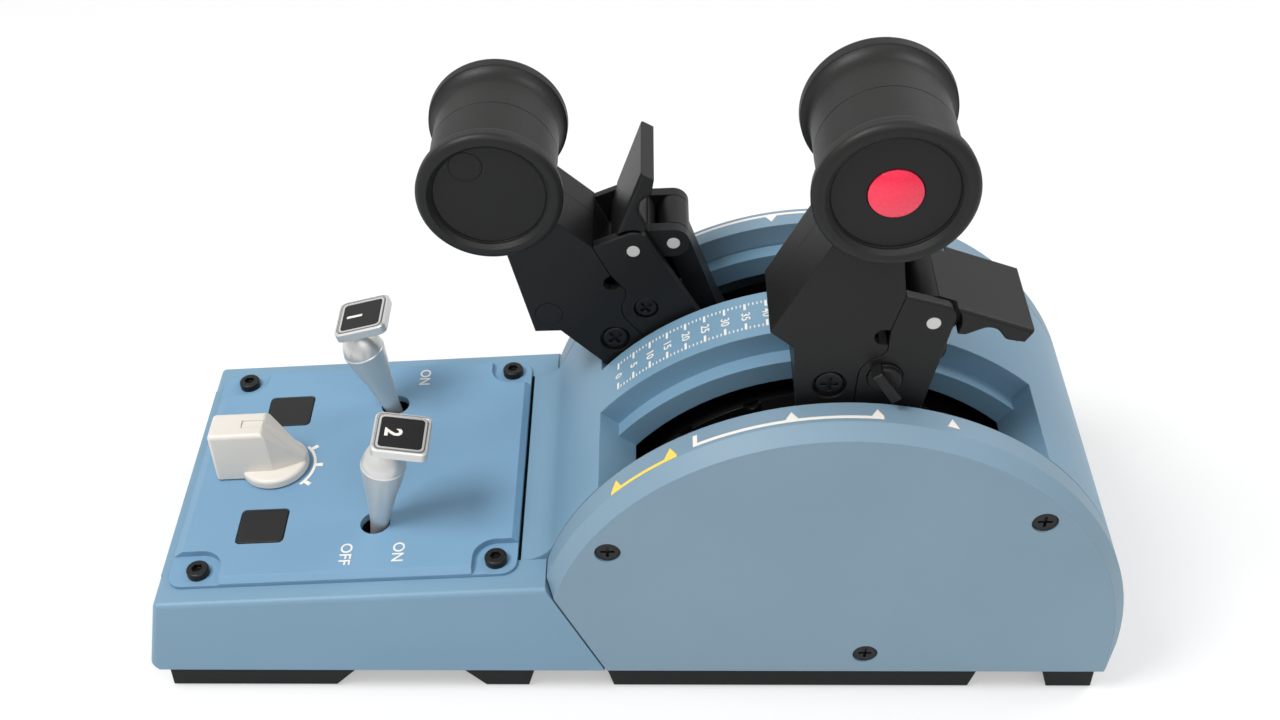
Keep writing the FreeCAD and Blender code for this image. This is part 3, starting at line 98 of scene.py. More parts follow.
# %% [markdown]
# ## One mesh builder for every line
# A printed mark is a very thin raised layer. Each line and triangle is a bar with four
# corners that is carried along a path: it starts a little inside the plastic and ends a
# hair above it, so it is closed and never flickers against the surface below.

# %% Pieces and grids
INK = 0.00005
SUNK = -0.00010


def new_piece(name, mesh, material, body):
    """Object at the origin that shows the mesh in one material and rides on a body."""
    mesh.materials.clear()
    mesh.materials.append(material)
    mesh.update()
    piece = bpy.data.objects.new(name, mesh)
    scene.collection.objects.link(piece)
    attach(piece, body)
    return piece


def mesh_object(name, vertices, faces, material, body):
    """Piece whose mesh holds the vertices and faces."""
    mesh = bpy.data.meshes.new(name)
    mesh.from_pydata(vertices.tolist(), [], faces.tolist() if hasattr(faces, "tolist") else faces)
    return new_piece(name, mesh, material, body)


def grid_quads(grid):
    """Numbers of the points of grid[i, k], and quads between neighbouring rows i, with k
    running round and closing on itself."""
    rows, n = grid.shape[:2]
    index = np.arange(rows * n).reshape(rows, n)
    a, b = index[:-1], index[1:]
    return index, np.stack([a, np.roll(a, -1, 1), np.roll(b, -1, 1), b], -1).reshape(-1, 4)


def combine(parts):
    """Several vertex and face arrays as one, each part's face numbers shifted past the last."""
    vertices, faces, start = [], [], 0
    for v, f in parts:
        vertices.append(v)
        faces.append(f + start)
        start += len(v)
    return np.concatenate(vertices), np.concatenate(faces)

# %% Bars carried along a path
def strip(surface, path, low, high):
    """Closed bar on a surface: its four corners follow the path's values between the low and
    the high edge, and its first and last section are the end caps."""
    path, low, high = np.broadcast_arrays(np.asarray(path, float), low, high)
    bar = np.stack([surface(path, low, SUNK), surface(path, high, SUNK),
                    surface(path, high, INK), surface(path, low, INK)], 1)
    index, sides = grid_quads(bar)
    caps = np.array([index[0, ::-1], index[-1]])
    return bar.reshape(-1, 3), np.concatenate([sides, caps])

# %% [markdown]
# ## Finishes
# The housing is moulded plastic with a fine spark-eroded grain under satin paint, the
# levers are the same grain in black. An image of the grain would need unwrapping, so
# noise is used: a broad noise shifts the colour a little, and a fine noise gives the
# grain through a Bump node and varies the gloss. The textures read Object coordinates,
# so the grain stays on the piece as it moves.

# %% Nodes and links
def add_node(tree, kind, inputs):
    """New shader node of a kind, with the given values on its input sockets."""
    made = tree.nodes.new("ShaderNode" + kind)
    for socket, value in inputs.items():
        made.inputs[socket].default_value = value
    return made


def wire(tree, *wires):
    """Links, each written as a node and its output, then a node and its input."""
    for source, output, target, socket in wires:
        tree.links.new(source.outputs[output], target.inputs[socket])


def linear(red, green, blue):
    """Colour written as 0-255 display values, turned into the linear values a shader takes:
    c / 12.92 in the darkest part, and ((c + 0.055) / 1.055) to the power 2.4 above it."""
    c = np.array([red, green, blue]) / 255.0
    return np.where(c <= 0.04045, c / 12.92, ((c + 0.055) / 1.055) ** 2.4)

# %% The recipe of a finish
BROAD = 25.0        # scale of the noise that shifts the colour
GLOSS_SWING = 0.05  # how far the roughness goes to either side
GRAIN_DEPTH = 0.25  # depth of the grain as a share of its size
EDGE_SAMPLES = 4


def finish(name, colour, roughness, grain=0.0004, bump=0.12, spread=0.06, metallic=0.0,
           coat=0.0, specular=0.5, edge=0.0003):
    """Material: base colour varied by the broad noise, roughness and bump by a fine noise
    whose grain has the given size in metres. A moulded or milled edge is never sharp, so the
    normals are rounded over the edge radius. The constants sit on the shader's sockets."""
    material = bpy.data.materials.new(name)
    material.use_nodes = True
    tree = material.node_tree
    shader = tree.nodes["Principled BSDF"]
    shader.inputs["Metallic"].default_value = metallic
    shader.inputs["Coat Weight"].default_value = coat
    shader.inputs["Specular IOR Level"].default_value = specular
    place = add_node(tree, "TexCoord", {})
    wide = add_node(tree, "TexNoise", {"Scale": BROAD, "Detail": 3.0})
    fine = add_node(tree, "TexNoise", {"Scale": 1.0 / grain, "Detail": 2.0})
    shade = add_node(tree, "Mix", {})
    shade.data_type = "RGBA"
    base = linear(*colour)
    shade.inputs["A"].default_value = tuple(np.append(base * (1 - spread), 1.0))
    shade.inputs["B"].default_value = tuple(np.append(np.minimum(base * (1 + spread), 1.0), 1.0))
    gloss = add_node(tree, "MapRange", {"To Min": roughness - GLOSS_SWING,
                                        "To Max": roughness + GLOSS_SWING})
    relief = add_node(tree, "Bump", {"Strength": bump, "Distance": grain * GRAIN_DEPTH})
    wire(tree, (place, "Object", wide, "Vector"), (place, "Object", fine, "Vector"),
         (wide, "Fac", shade, "Factor"), (shade, "Result", shader, "Base Color"),
         (fine, "Fac", gloss, "Value"), (gloss, "Result", shader, "Roughness"),
         (fine, "Fac", relief, "Height"), (relief, "Normal", shader, "Normal"))
    if edge:
        soft = add_node(tree, "Bevel", {"Radius": edge})
        soft.samples = EDGE_SAMPLES
        wire(tree, (soft, "Normal", relief, "Normal"))
    return material


# %% Painted housing and black plastics
housing_blue = finish("housing_blue", (115, 150, 173), 0.48, bump=0.18)
# The covers are the hood's plastic; their blue is the housing blue made greyer, as painted shade for
# their upright sides.
cover_blue = finish("cover_blue", (121, 148, 166), 0.50, bump=0.20)
panel_blue = finish("panel_blue", (113, 152, 181), 0.50, bump=0.15)
lever_black = finish("lever_black", (24, 24, 24), 0.42, bump=0.20, spread=0.14, specular=0.22)
grip_black = finish("grip_black", (22, 22, 21), 0.46, grain=0.0006, bump=0.22, spread=0.10,
                    specular=0.28)
frame_black = finish("frame_black", (5, 5, 5), 0.75, spread=0.15, specular=0.06)
base_black = finish("base_black", (24, 25, 26), 0.60, bump=0.25, spread=0.12, specular=0.2)
pad_rubber = finish("pad_rubber", (24, 24, 24), 0.85, grain=0.0008, bump=0.35)
key_black = finish("key_black", (28, 28, 28), 0.48, bump=0.12, spread=0.08, specular=0.25)
face_black = finish("face_black", (22, 22, 22), 0.40, bump=0.08, spread=0.08, specular=0.25)
# Near black for the painted shade in the gap in front of the panel plate.
seam_black = finish("seam_black", (8, 8, 8), 0.80, specular=0.05)

# %% Metals, pale plastics and inks
screw_black = finish("screw_black", (30, 30, 31), 0.34, grain=0.0003, bump=0.08, metallic=0.6)
silver_paint = finish("silver_paint", (206, 206, 204), 0.34, grain=0.0003, bump=0.01,
                      metallic=0.62, edge=0)
bright_steel = finish("bright_steel", (176, 176, 174), 0.30, grain=0.0003, bump=0.06, metallic=1.0)
ivory = finish("ivory_plastic", (222, 216, 207), 0.40, bump=0.08, spread=0.03)
red_plastic = finish("red_plastic", (252, 34, 76), 0.28, grain=0.0008, bump=0.03, coat=0.3)
pin_white = finish("pin_white", (208, 207, 203), 0.40, bump=0.05)
board_green = finish("board_green", (40, 96, 58), 0.45, bump=0.05)
groove_grey = finish("groove_grey", (92, 92, 92), 0.45, bump=0.04)
ink_white = finish("ink_white", (240, 234, 226), 0.55, bump=0.05, spread=0.02)
ink_yellow = finish("ink_yellow", (250, 216, 96), 0.55, bump=0.05, spread=0.03)
print("materials now in the file:", len(bpy.data.materials))

# %% [markdown]
# ## Dressing the CAD pieces
# A CAD node keeps its mesh and only changes its material. Naming every node would make
# a long list, so the table below goes from finish to the ends of the node names that
# wear it, and where two ends fit, the longer one counts.

# %% Which node wears what
wardrobe = {
    housing_blue: ["hood"],
    cover_blue: ["right_cover", "left_cover"],
    panel_blue: ["panel_plate"],
    lever_black: ["shell", "right_plate", "left_plate", "paddle", "strut", "blank_plugs",
                  "twist_lock", "disc_right", "disc_left"],
    grip_black: ["knob_right", "knob_left"],
    frame_black: ["frame", "arm", "panel_switches"],
    base_black: ["base_plate", "usb_socket"],
    pad_rubber: ["foot_pads"],
    screw_black: ["screws", "detent_plates"],
    silver_paint: ["toggle_1", "toggle_2"],
    ivory: ["mode_knob"],
    key_black: ["button_1", "button_2"],
    red_plastic: ["red_button"],
    pin_white: ["pin", "washers"],
    bright_steel: ["axle", "detent_roller", "mode_shaft"],
    board_green: ["circuit_board"],
}
for name, node in nodes.items():
    fits = [(len(end), m) for m, ends in wardrobe.items() for end in ends if name.endswith(end)]
    worn = max(fits, key=lambda fit: fit[0])[1]
    for holder in node.material_slots:
        holder.material = worn
print("dressed", len(nodes), "nodes in", len(wardrobe), "finishes")

# %% [markdown]
# ## The lever travel markings
# Beside each slot a bracket shows the lever's range: a line with small triangles at the
# stops that point at the slot. Separate triangles would overlap the line, so the line
# and its triangles are one bar whose inner edge swells where a triangle stands.

# %% Brackets and triangles on the dome
def bracket(angles, line_y, line_width, peaks, side, rise=2.4, half=1.15):
    """Marking along the dome. Its outer edge keeps its distance from the middle; its inner
    edge moves towards the slot by a triangle at each peak angle, of the given rise in
    millimetres and the given half width in degrees."""
    path = np.unique(np.concatenate([np.linspace(*angles, 60)]
                                    + [np.linspace(p - half, p + half, 9) for p in peaks]))
    path = path[(path >= angles[0]) & (path <= angles[1])]
    swell = sum(np.clip(1 - np.abs(path - p) / half, 0, 1) for p in peaks)
    outer = line_y * MM + 0 * path
    inner = (line_y - line_width - rise * swell) * MM
    return strip(on_dome, path, side * outer, side * inner)


def tab(angle, y0, y1, width, side):
    """Short bar across the strip at one angle, its width in degrees."""
    path = np.array([angle - width / 2, angle + width / 2])
    return strip(on_dome, path, side * y1 * MM, side * y0 * MM)

# %% The marks beside each slot
RANGE = dict(angles=(-28.0, 5.7), line_y=40.2, line_width=0.90, peaks=(-10.5, 4.7))
RANGE_END = dict(angle=-28.45, y0=36.6, y1=40.2, width=0.9)
STOP = dict(angles=(17.4, 19.8), line_y=39.2, line_width=0.05, peaks=(18.6,), rise=2.8, half=1.2)
REVERSE = dict(angles=(-47.6, -32.2), line_y=41.0, line_width=0.95, peaks=(-46.3, -33.6),
               rise=2.9, half=1.3)
SIDES = ((-1, "right"), (1, "left"))

for side, label in SIDES:
    range_marks = combine([bracket(side=side, **RANGE), tab(side=side, **RANGE_END),
                           bracket(side=side, **STOP)])
    mesh_object("range_marks_" + label, *range_marks, ink_white, "housing")
    mesh_object("reverse_marks_" + label, *bracket(side=side, **REVERSE), ink_yellow, "housing")
print("range from", RANGE["angles"], "and reverse from", REVERSE["angles"], "degrees")

# %% [markdown]
# ## The scale between the slots
# The middle strip carries a plain scale: two rows of long ticks with short ticks between
# them and numbers in the middle. Over a hundred ticks as objects would be slow to
# handle, so they are one mesh, built as one array.

# %% Ticks
STEP = 4.12         # degrees from one long tick to the next
FIRST = -46.2
COUNT = 11
SMALL_STEPS = 5
LONG_TICK = dict(y0=2.6, y1=4.9, width=0.50)
SHORT_TICK = dict(y0=4.0, y1=4.9, width=0.26)

ticks = []
for i in range(COUNT):
    for side, _ in SIDES:
        ticks.append(tab(FIRST + i * STEP, side=side, **LONG_TICK))
        if i < COUNT - 1:
            ticks += [tab(FIRST + (i + k / SMALL_STEPS) * STEP, side=side, **SHORT_TICK)
                      for k in range(1, SMALL_STEPS)]
mesh_object("scale_ticks", *combine(ticks), ink_white, "housing")
print("ticks on the scale:", len(ticks))

# %% Numbers and letters
def lettering(name, text, size, place, body, material, weight=0.05):
    """Text as a mesh of its own, centred, its strokes widened by the weight in millimetres,
    given a small thickness and then carried to its surface: place takes the arrays x and y
    of the letters and their height."""
    curve = bpy.data.curves.new(name, "FONT")
    curve.body = text
    curve.size = size * MM
    curve.align_x = "CENTER"
    curve.align_y = "CENTER"
    curve.extrude = (INK - SUNK) / 2
    curve.offset = weight * MM
    curve.resolution_u = 3
    text_object = bpy.data.objects.new(name + "_text", curve)
    scene.collection.objects.link(text_object)
    bpy.context.view_layer.update()
    evaluated = text_object.evaluated_get(bpy.context.evaluated_depsgraph_get())
    mesh = bpy.data.meshes.new_from_object(evaluated)
    bpy.data.objects.remove(text_object)
    flat = np.zeros(len(mesh.vertices) * 3)
    mesh.vertices.foreach_get("co", flat)
    x, y, z = flat.reshape(-1, 3).T
    mesh.vertices.foreach_set("co", place(x, y, z + (INK + SUNK) / 2).ravel())
    return new_piece(name, mesh, material, body)


NUMBER_SIZE = 3.1
UNITS = 5           # what the scale goes up by at each long tick

for i in range(COUNT):
    lettering("scale_number_%02d" % (UNITS * i), str(UNITS * i), NUMBER_SIZE,
              lambda x, y, h, m=FIRST + i * STEP: on_dome(m + np.degrees(y / dome_radius), -x, h),
              "housing", ink_white)
print("numbers on the scale:", COUNT, "up to", UNITS * (COUNT - 1))

# %% [markdown]
# ## The panel print
# Round the mode selector runs an arc with three positions, and each toggle has its ON
# and OFF. The words read from the pilot's seat, so their tops point forward. The same
# strip draws the arc, once it is told that its path is an angle.

# %% Dial arc
ARC_END, DIAL_STOP = 44, 36                     # degrees to either side of forward
ARC_IN, ARC_OUT, TICK_OUT = 9.8, 10.6, 12.4     # radii in millimetres
HALF_TICK = 0.05                                # radians


def round_dial(angle, radius, height):
    """Surface for a strip: the path is the angle and the edge is the radius."""
    return on_deck(radius * np.cos(angle), radius * np.sin(angle), np.zeros_like(angle) + height)


arc = np.radians(np.linspace(-ARC_END, ARC_END, 45))
marks = [strip(round_dial, arc, ARC_IN * MM, ARC_OUT * MM)]
for stop in np.radians([-DIAL_STOP, 0, DIAL_STOP]):
    marks.append(strip(round_dial, np.array([stop - HALF_TICK, stop + HALF_TICK]),
                       ARC_OUT * MM, TICK_OUT * MM))
mesh_object("dial_marks", *combine(marks), ink_white, "housing")
print("dial positions:", len(marks) - 1)

# %% Words at the toggles
WORD_SIZE = 4.2
WORDS_AHEAD = {"ON": 36.0, "OFF": 22.8}         # millimetres forward of the dial
WORDS_OUT = {"right": -32.7, "left": 33.3}      # and across

for word, forward in WORDS_AHEAD.items():
    for _, label in SIDES:
        lettering("word_%s_%s" % (word.lower(), label), word, WORD_SIZE,
                  lambda x, y, h, f=forward * MM, c=WORDS_OUT[label] * MM: on_deck(f + y, c - x, h),
                  "housing", ink_white)
print("words on the panel:", len(WORDS_AHEAD) * len(SIDES))

# %% [markdown]
# ## The two toggles
# A toggle is a bat: a slim root that swells to a crease, a domed shoulder above it, and a
# neck that carries a square head. A lathe or a row of modifiers could make it, but one
# grid of angle by profile shows every radius as a number. The head is a stack of rounded
# squares. Each toggle stands in for its CAD node, whose own line is read from the packed
# mesh: a turned piece has its points evenly round its line.

# %% Turned and stacked surfaces
def curve_through(start, middle, end, steps=12):
    """Points on the parabola through three points: weights (1-t)^2, 2t(1-t) and t^2 on the
    start, a control point and the end, where the control is twice the middle less half of
    both."""
    start, middle, end = (np.array(p, float) for p in (start, middle, end))
    t = np.linspace(0, 1, steps)[:, None]
    control = 2 * middle - (start + end) / 2
    return (1 - t) ** 2 * start + 2 * t * (1 - t) * control + t ** 2 * end


def turned(profile, steps=64):
    """Grid of a profile (radius, height) turned once about the height: x is the radius times
    the cosine of the angle and y times the sine. A row of the grid is one ring."""
    angle = np.linspace(0, 2 * np.pi, steps, endpoint=False)[:, None]
    r, z = profile[:, 0], profile[:, 1]
    grid = np.stack([np.cos(angle) * r, np.sin(angle) * r, np.ones_like(angle) * z], -1)
    return grid.transpose(1, 0, 2)


def rounded_square(half, corner, steps=8):
    """Square of half side with rounded corners, anticlockwise, as x and y: each corner is a
    quarter circle of the given radius about its own centre."""
    quarter = np.linspace(0, np.pi / 2, steps)
    turns = np.concatenate([quarter + k * np.pi / 2 for k in range(4)])
    signs = np.repeat(np.array([[1, 1], [-1, 1], [-1, -1], [1, -1]]), steps, 0)
    centres = signs * (half - corner)
    return centres + corner * np.stack([np.cos(turns), np.sin(turns)], -1)


def stacked(levels):
    """Grid of rounded squares (half side, corner radius, height) joined one to the next."""
    rings = []
    for half, corner, z in levels:
        outline = rounded_square(half, corner)
        rings.append(np.column_stack([outline, np.full(len(outline), z)]))
    return np.stack(rings)


def skin(rings):
    """Vertices and faces of a closed surface from rings[i, k]: quads between neighbouring
    rings, and one face over the first ring and one over the last."""
    index, quads = grid_quads(rings)
    return rings.reshape(-1, 3), quads.tolist() + [index[0, ::-1].tolist(), index[-1].tolist()]

# %% Working on a finished mesh
def reworked(piece, work):
    """Opens the piece's mesh for editing, lets the function work change it, writes it back."""
    opened = bmesh.new()
    opened.from_mesh(piece.data)
    work(opened)
    opened.to_mesh(piece.data)
    opened.free()


def smooth(piece, limit):
    """Smooth shading, except across edges that bend by more than the limit in degrees."""
    def mark_edges(opened):
        for edge in opened.edges:
            edge.smooth = len(edge.link_faces) != 2 or edge.calc_face_angle() < math.radians(limit)

    piece.data.polygons.foreach_set("use_smooth", np.ones(len(piece.data.polygons), bool))
    reworked(piece, mark_edges)


# %% The bat's profile, in millimetres above the plate
ROOT_R, ROOT_END = 2.3, -6.0    # the root runs on below the plate
TAPER_R = 3.3                   # half way up to the band
BAND_R, BAND_AT = 4.65, 14.8
CREASE_R, CREASE_AT = 5.65, 20.7
DOME_R, DOME_AT = 4.75, 23.8    # half way over the shoulder
NECK_R, DOME_END = 3.0, 26.4
HEAD_AT = 29.2
POLE_R = 0.01                   # the ring that closes each end
NECK_TOP = HEAD_AT + 0.5

bat_profile = np.concatenate([
    [(POLE_R, ROOT_END), (ROOT_R - 0.3, ROOT_END), (ROOT_R, 0.0)],
    curve_through((ROOT_R, 0.0), (TAPER_R, BAND_AT / 2), (BAND_R, BAND_AT))[1:],
    [(BAND_R + 0.08, BAND_AT + 0.05), (CREASE_R, CREASE_AT - 0.15), (CREASE_R - 0.05, CREASE_AT)],
    curve_through((CREASE_R - 0.2, CREASE_AT + 0.2), (DOME_R, DOME_AT), (NECK_R + 0.1, DOME_END)),
    [(NECK_R, DOME_END + 0.4), (NECK_R, NECK_TOP), (POLE_R, NECK_TOP)]])
print("points on the bat's profile:", len(bat_profile))

# %% The head's levels and its insets
HEAD_HALF, HEAD_CORNER, HEAD_THICK = 6.95, 1.9, 2.8
HEAD_AHEAD = np.array([3.9, 0, 0])  # the head sits forward of the bat's line
HEAD_EDGE = 0.35                    # its chamfers, and the depth of the step in its face
HEAD_TOP = HEAD_AT + HEAD_THICK
INSET_FOOT = HEAD_TOP - 0.60

# From the underside up the wall, over the rim, and inwards by shallow steps.
head_levels = [
    (HEAD_HALF - 0.35, HEAD_CORNER, HEAD_AT),
    (HEAD_HALF, HEAD_CORNER, HEAD_AT + HEAD_EDGE),
    (HEAD_HALF, HEAD_CORNER, HEAD_TOP - HEAD_EDGE),
    (HEAD_HALF - 0.30, HEAD_CORNER - 0.2, HEAD_TOP),
    (HEAD_HALF - 0.55, HEAD_CORNER - 0.3, HEAD_TOP),
    (HEAD_HALF - 0.60, HEAD_CORNER - 0.3, HEAD_TOP - HEAD_EDGE),
    (HEAD_HALF - 1.10, HEAD_CORNER - 0.6, HEAD_TOP - HEAD_EDGE),
    (HEAD_HALF - 1.15, HEAD_CORNER - 0.6, HEAD_TOP - 0.05),
    (HEAD_HALF - 1.65, HEAD_CORNER - 0.9, HEAD_TOP - 0.05),
    (HEAD_HALF - 1.70, HEAD_CORNER - 0.9, HEAD_TOP - 0.45)]
face_levels = [(5.25, 0.95, INSET_FOOT), (5.25, 0.95, HEAD_TOP - 0.15)]
groove_levels = [(6.10, 1.5, INSET_FOOT), (6.10, 1.5, HEAD_TOP - 0.25)]
print("the head's top above the plate in mm:", HEAD_TOP)

# %% A toggle's line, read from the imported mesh
BAT_FROM, BAT_TO = 12 * MM, 24 * MM     # distances from the pivot between which it is turned


def vertices_of(name):
    """The node's vertices as an array of x, y, z."""
    flat = np.zeros(len(nodes[name].data.vertices) * 3)
    nodes[name].data.vertices.foreach_get("co", flat)
    return flat.reshape(-1, 3)


def toggle_line(name):
    """Point where the toggle's line meets the panel, its forward direction, and the line: the
    line runs from the pivot through the mean of the points of the turned part."""
    pivot = np.array(joints[name + "_flip"]["pos_m"])
    points = vertices_of(name) - pivot
    far = np.linalg.norm(points, axis=1)
    line = points[(far > BAT_FROM) & (far < BAT_TO)].mean(0)
    line[1] = 0.0
    line /= np.linalg.norm(line)
    foot = pivot + line * (np.dot(dial - pivot, up) / np.dot(line, up))
    return foot, np.array([line[2], 0.0, -line[0]]), line


def seated(local, foot, ahead, line):
    """From the toggle's own millimetres to its place: x ahead, y across, z along its line."""
    local = np.asarray(local) * MM
    return foot + local[..., :1] * ahead + local[..., 1:2] * ACROSS + local[..., 2:] * line

# %% Toggles, their dark insets and numbers
TOGGLE_SHARP = 18.0                     # degrees over which an edge stays sharp
FIGURE_SIZE, FIGURE_WEIGHT = 5.8, 0.16
FIGURE_AHEAD = HEAD_AHEAD[0] - 2.2
FIGURE_AT = HEAD_TOP - 0.12

for name in ("toggle_1", "toggle_2"):
    stand = toggle_line(name)
    bat, bat_faces = skin(turned(bat_profile))
    head, head_faces = skin(stacked(head_levels) + HEAD_AHEAD)
    faces = bat_faces + [[k + len(bat) for k in face] for face in head_faces]
    piece = mesh_object(name + "_bat", seated(np.concatenate([bat, head]), *stand), faces,
                        silver_paint, name)
    smooth(piece, TOGGLE_SHARP)
    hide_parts(name)
    for part, levels, worn in (("_face", face_levels, face_black),
                               ("_groove", groove_levels, groove_grey)):
        inset, inset_faces = skin(stacked(levels) + HEAD_AHEAD)
        mesh_object(name + part, seated(inset, *stand), inset_faces, worn, name)
    lettering(name + "_number", name[-1], FIGURE_SIZE,
              lambda u, v, h, s=stand: seated(
                  np.stack([v / MM + FIGURE_AHEAD, -u / MM, h / MM + FIGURE_AT], -1), *s),
              name, ink_white, weight=FIGURE_WEIGHT)
    print(name, "leans", round(math.degrees(math.acos(np.dot(stand[2], up))), 2), "degrees")

# %% [markdown]
# ## Trims of the knobs' ends
# Each knob's end disc meets the rim in a small hollow, not in an open slit. The hollow is
# a turned ring whose outer edge runs up the wall of the recess. Its profile is closed, so
# the first and last ring lie on each other and are merged.

# %% Rings where the end discs meet the rims
# Distance from the disc's edge, and distance out of the disc's face, in millimetres.
TRIM = np.array([(-0.10, -0.40), (-0.10, 0.02), (0.05, 0.12), (0.11, 0.45), (0.11, -0.40),
                 (-0.10, -0.40)]) * MM
SAME_POINT = 1e-7


def closed_ring(opened):
    """Merges the doubled ring and turns all faces outwards."""
    bmesh.ops.remove_doubles(opened, verts=opened.verts, dist=SAME_POINT)
    bmesh.ops.recalc_face_normals(opened, faces=opened.faces)


for lever in (1, 2):
    for side, end in SIDES:
        low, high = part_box("lever_%d_disc_%s" % (lever, end))
        centre = np.array([(low.x + high.x) / 2, 0, (low.z + high.z) / 2])
        disc_radius = (high.x - low.x) / 2
        disc_face = low.y if side < 0 else high.y
        rings = turned(TRIM + [disc_radius, 0])
        placed = centre + np.stack([rings[..., 0], disc_face + side * rings[..., 2],
                                    rings[..., 1]], -1)
        trim = mesh_object("disc_trim_%d_%s" % (lever, end), placed.reshape(-1, 3),
                           grid_quads(placed)[1][:, ::side], lever_black, "lever_%d" % lever)
        reworked(trim, closed_ring)
print("disc trims made, the last of radius mm:", round(disc_radius / MM, 2))

# %% [markdown]
# ## The hood's fore slope
# Two screw columns stand inside the hood's fore end, and in the construction model their
# fore edges break through the slope a little, where a moulded shell is smooth. A CAD mesh
# is never changed, so the hood is copied: the points that stand outside the dome there
# are drawn back along the radius to its surface, and the copy stands in for the node.

# %% The points that stand outside the dome
COLUMN_Y, COLUMN_REACH = 24 * MM, 6 * MM    # columns' place across, and the reach round it
LOWEST = 20 * MM                            # points less than this above the axle stay
TOLERANCE = 0.02 * MM

hood_points = vertices_of("hood")
from_axle = hood_points - [axle[0], 0, axle[2]]
reach = np.hypot(from_axle[:, 0], from_axle[:, 2])
near_columns = np.abs(np.abs(hood_points[:, 1]) - COLUMN_Y) < COLUMN_REACH
on_slope = (from_axle[:, 2] > LOWEST) & (from_axle[:, 0] > dome_radius / 2)
proud = near_columns & on_slope & (reach > dome_radius + TOLERANCE)
back = dome_radius / reach[proud]
hood_points[proud, 0] = axle[0] + from_axle[proud, 0] * back
hood_points[proud, 2] = axle[2] + from_axle[proud, 2] * back
print("hood points drawn back:", proud.sum(),
      "the furthest by mm:", round((reach[proud].max() - dome_radius) / MM, 2))

# %% A hood with a smooth slope
TOUCHING = 1e-6
HOOD_SHARP = 28.0


def joined(opened):
    """Loose triangles made one skin: points that touch are merged and faces that the merge
    left without area are taken out."""
    bmesh.ops.remove_doubles(opened, verts=opened.verts, dist=TOUCHING)
    bmesh.ops.dissolve_degenerate(opened, edges=opened.edges, dist=TOUCHING)


hood_mesh = nodes["hood"].data
hood_mesh.calc_loop_triangles()
hood_triangles = np.zeros(len(hood_mesh.loop_triangles) * 3, int)
hood_mesh.loop_triangles.foreach_get("vertices", hood_triangles)
hood_triangles = hood_triangles.reshape(-1, 3)
shell = mesh_object("hood_shell", hood_points, hood_triangles, housing_blue, "housing")
reworked(shell, joined)
smooth(shell, HOOD_SHARP)
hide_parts("hood")
print("faces of the hood's copy:", len(shell.data.polygons))

# %% [markdown]
# ## Painted shade in front of the panel plate
# The shadow in the gap where the plate meets the hood along its fore edge is painted as a
# narrow dark strip. The hood's own height there is found with a ray cast square to the panel
# onto the copy, so the strip lies on it. It stops short of the plate's rounded corners.

# %% A painted shadow line on the hood's surface
SHADOW_FROM, SHADOW_TO = 0.05 * MM, 0.75 * MM   # distance forward of the plate
SHADOW_MIDDLE = 0.4 * MM
RAY_START = 10 * MM
PLATE_CORNER = 5.0 * MM

plate_points = vertices_of("panel_plate") - dial
plate_fore = (plate_points @ along).max()
plate_half = np.abs(plate_points[:, 1]).max()
hood_surface = BVHTree.FromPolygons([Vector(p) for p in hood_points], hood_triangles.tolist())
above = dial + along * (plate_fore + SHADOW_MIDDLE) + up * RAY_START
hit = hood_surface.ray_cast(Vector(above), Vector(-up))[0]
shadow_level = np.dot(np.array(hit) - dial, up)
print("the hood in front of the plate lies at mm:", round(shadow_level / MM, 2))


def fore_shadow_gap(y, x, height):
    """Surface for a strip: the path runs across and the edge is the distance forward."""
    return on_deck(x, y, shadow_level + np.zeros_like(y) + height)


shadow_ends = np.array([-1.0, 1.0]) * (plate_half - PLATE_CORNER)
# This dark strip is painted shade: it stands for the shadow in the gap at the plate's fore edge.
mesh_object("plate_seam", *strip(fore_shadow_gap, shadow_ends, plate_fore + SHADOW_FROM, plate_fore + SHADOW_TO),
            seam_black, "housing")

# %% [markdown]
# ## Studio
# A pale floor keeps the object's shadow. The world lights the object weakly, and Light
# Path shows it as plain white to camera, glossy and transmission rays only, so a pale
# backdrop needs no more light on the object. The floor is brightened for camera rays.

# %% Floor
HALF_FLOOR = 6.0
PAPER = (0.95, 0.95, 0.95, 1)
PAPER_ROUGHNESS = 0.9
FLOOR_GLOW = 0.4        # share of plain white that the camera sees on the floor

corners = [(x * HALF_FLOOR, y * HALF_FLOOR, 0) for x, y in ((-1, -1), (1, -1), (1, 1), (-1, 1))]
floor_mesh = bpy.data.meshes.new("studio_floor")
floor_mesh.from_pydata(corners, [], [(0, 1, 2, 3)])
floor = bpy.data.objects.new("studio_floor", floor_mesh)
scene.collection.objects.link(floor)
paper = bpy.data.materials.new("studio_paper")
paper.use_nodes = True
tree = paper.node_tree
matt = tree.nodes["Principled BSDF"]
matt.inputs["Base Color"].default_value = PAPER
matt.inputs["Roughness"].default_value = PAPER_ROUGHNESS
bright = add_node(tree, "Emission", {})
ray = add_node(tree, "LightPath", {})
share = add_node(tree, "Math", {1: FLOOR_GLOW})
share.operation = "MULTIPLY"
mixed = add_node(tree, "MixShader", {})
wire(tree, (ray, "Is Camera Ray", share, 0), (share, 0, mixed, "Fac"), (matt, 0, mixed, 1),
     (bright, 0, mixed, 2), (mixed, 0, tree.nodes["Material Output"], "Surface"))
floor_mesh.materials.append(paper)
print("floor side in metres:", 2 * HALF_FLOOR)

# %% World
WHITE = (1, 1, 1, 1)
AMBIENT, SEEN = 0.32, 1.0       # what lights the object, and what the camera sees

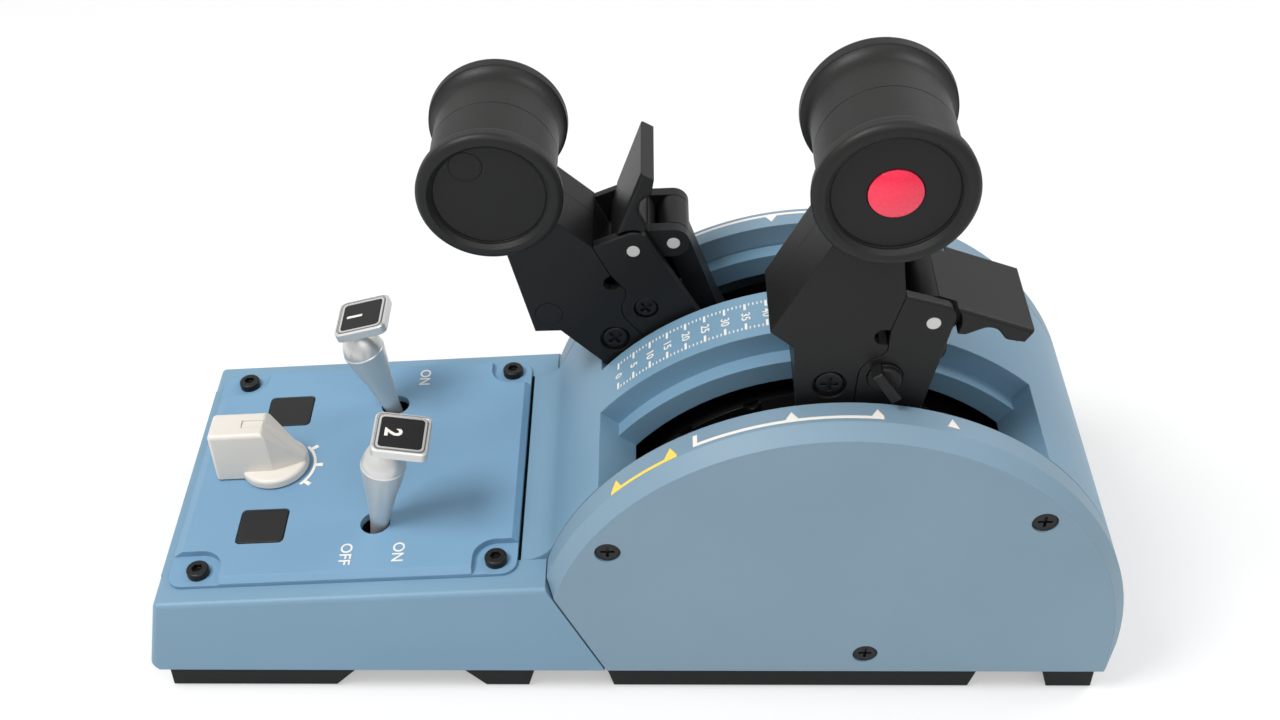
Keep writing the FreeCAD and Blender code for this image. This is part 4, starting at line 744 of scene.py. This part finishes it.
world = bpy.data.worlds.new("studio_world")
scene.world = world
world.use_nodes = True
sky = world.node_tree
ambient = sky.nodes["Background"]
ambient.inputs["Color"].default_value = WHITE
ambient.inputs["Strength"].default_value = AMBIENT
seen = add_node(sky, "Background", {"Color": WHITE, "Strength": SEEN})
rays = add_node(sky, "LightPath", {})
either = add_node(sky, "Math", {})
either.operation = "MAXIMUM"
any_of_three = add_node(sky, "Math", {})
any_of_three.operation = "MAXIMUM"
chosen = add_node(sky, "MixShader", {})
wire(sky, (rays, "Is Camera Ray", either, 0), (rays, "Is Glossy Ray", either, 1),
     (either, 0, any_of_three, 0), (rays, "Is Transmission Ray", any_of_three, 1),
     (any_of_three, 0, chosen, "Fac"), (ambient, 0, chosen, 1), (seen, 0, chosen, 2),
     (chosen, 0, sky.nodes["World Output"], "Surface"))
print("world lights at", AMBIENT, "and is seen at", SEEN)

# %% [markdown]
# ## Lamps
# Soft light comes from lamps that are large for their distance. The key lamp hangs high,
# aft and a little to the right. A weaker rim lamp hangs forward on the left, and a
# broad weak fill hangs on the right, on the camera's side.

# %% Three lamps
def lamp(name, place, target, size, power):
    """Square area lamp at a place, turned towards a target, of a side in metres and a power
    in watts."""
    light = bpy.data.lights.new(name, "AREA")
    light.size = size
    light.energy = power
    hung = bpy.data.objects.new(name, light)
    hung.location = place
    hung.rotation_euler = (Vector(target) - Vector(place)).to_track_quat("-Z", "Y").to_euler()
    scene.collection.objects.link(hung)
    print(name, "lamp:", power, "watts")


lamp("key", place=(-0.50, -0.22, 0.90), target=(0, 0, 0.05), size=0.38, power=7.6)
lamp("rim", place=(0.55, 0.25, 0.70), target=(0, 0, 0.06), size=0.40, power=2.4)
lamp("front_fill", place=(0.22, -0.62, 0.88), target=(0, 0, 0.06), size=0.7, power=2.6)

# %% [markdown]
# ## Camera
# The camera stands to the right of the quadrant and looks down at about 40 degrees, with
# a lens a little longer than normal, so the levers keep their proportions.

# %% Place the camera
SENSOR, LENS = 36.0, 45.85              # millimetres
STANDS_AT = (0.00141, -0.3100, 0.3376)
NEAREST = 0.01
YAW, DOWN, ROLL = -0.014, 40.405, 0.144  # degrees


def rotation(angle, axis):
    """Turn by an angle in degrees about an axis."""
    return Matrix.Rotation(math.radians(angle), 3, axis)


eye = bpy.data.cameras.new("studio_camera")
eye.sensor_width = SENSOR
eye.lens = LENS
eye.clip_start = NEAREST
camera = bpy.data.objects.new("studio_camera", eye)
camera.location = STANDS_AT
aim = rotation(YAW, "Z") @ rotation(90 - DOWN, "X") @ rotation(ROLL, "Z")
camera.rotation_euler = aim.to_euler()
scene.collection.objects.link(camera)
scene.camera = camera
scene.view_settings.view_transform = "Standard"
print("camera looks down by degrees:", DOWN)
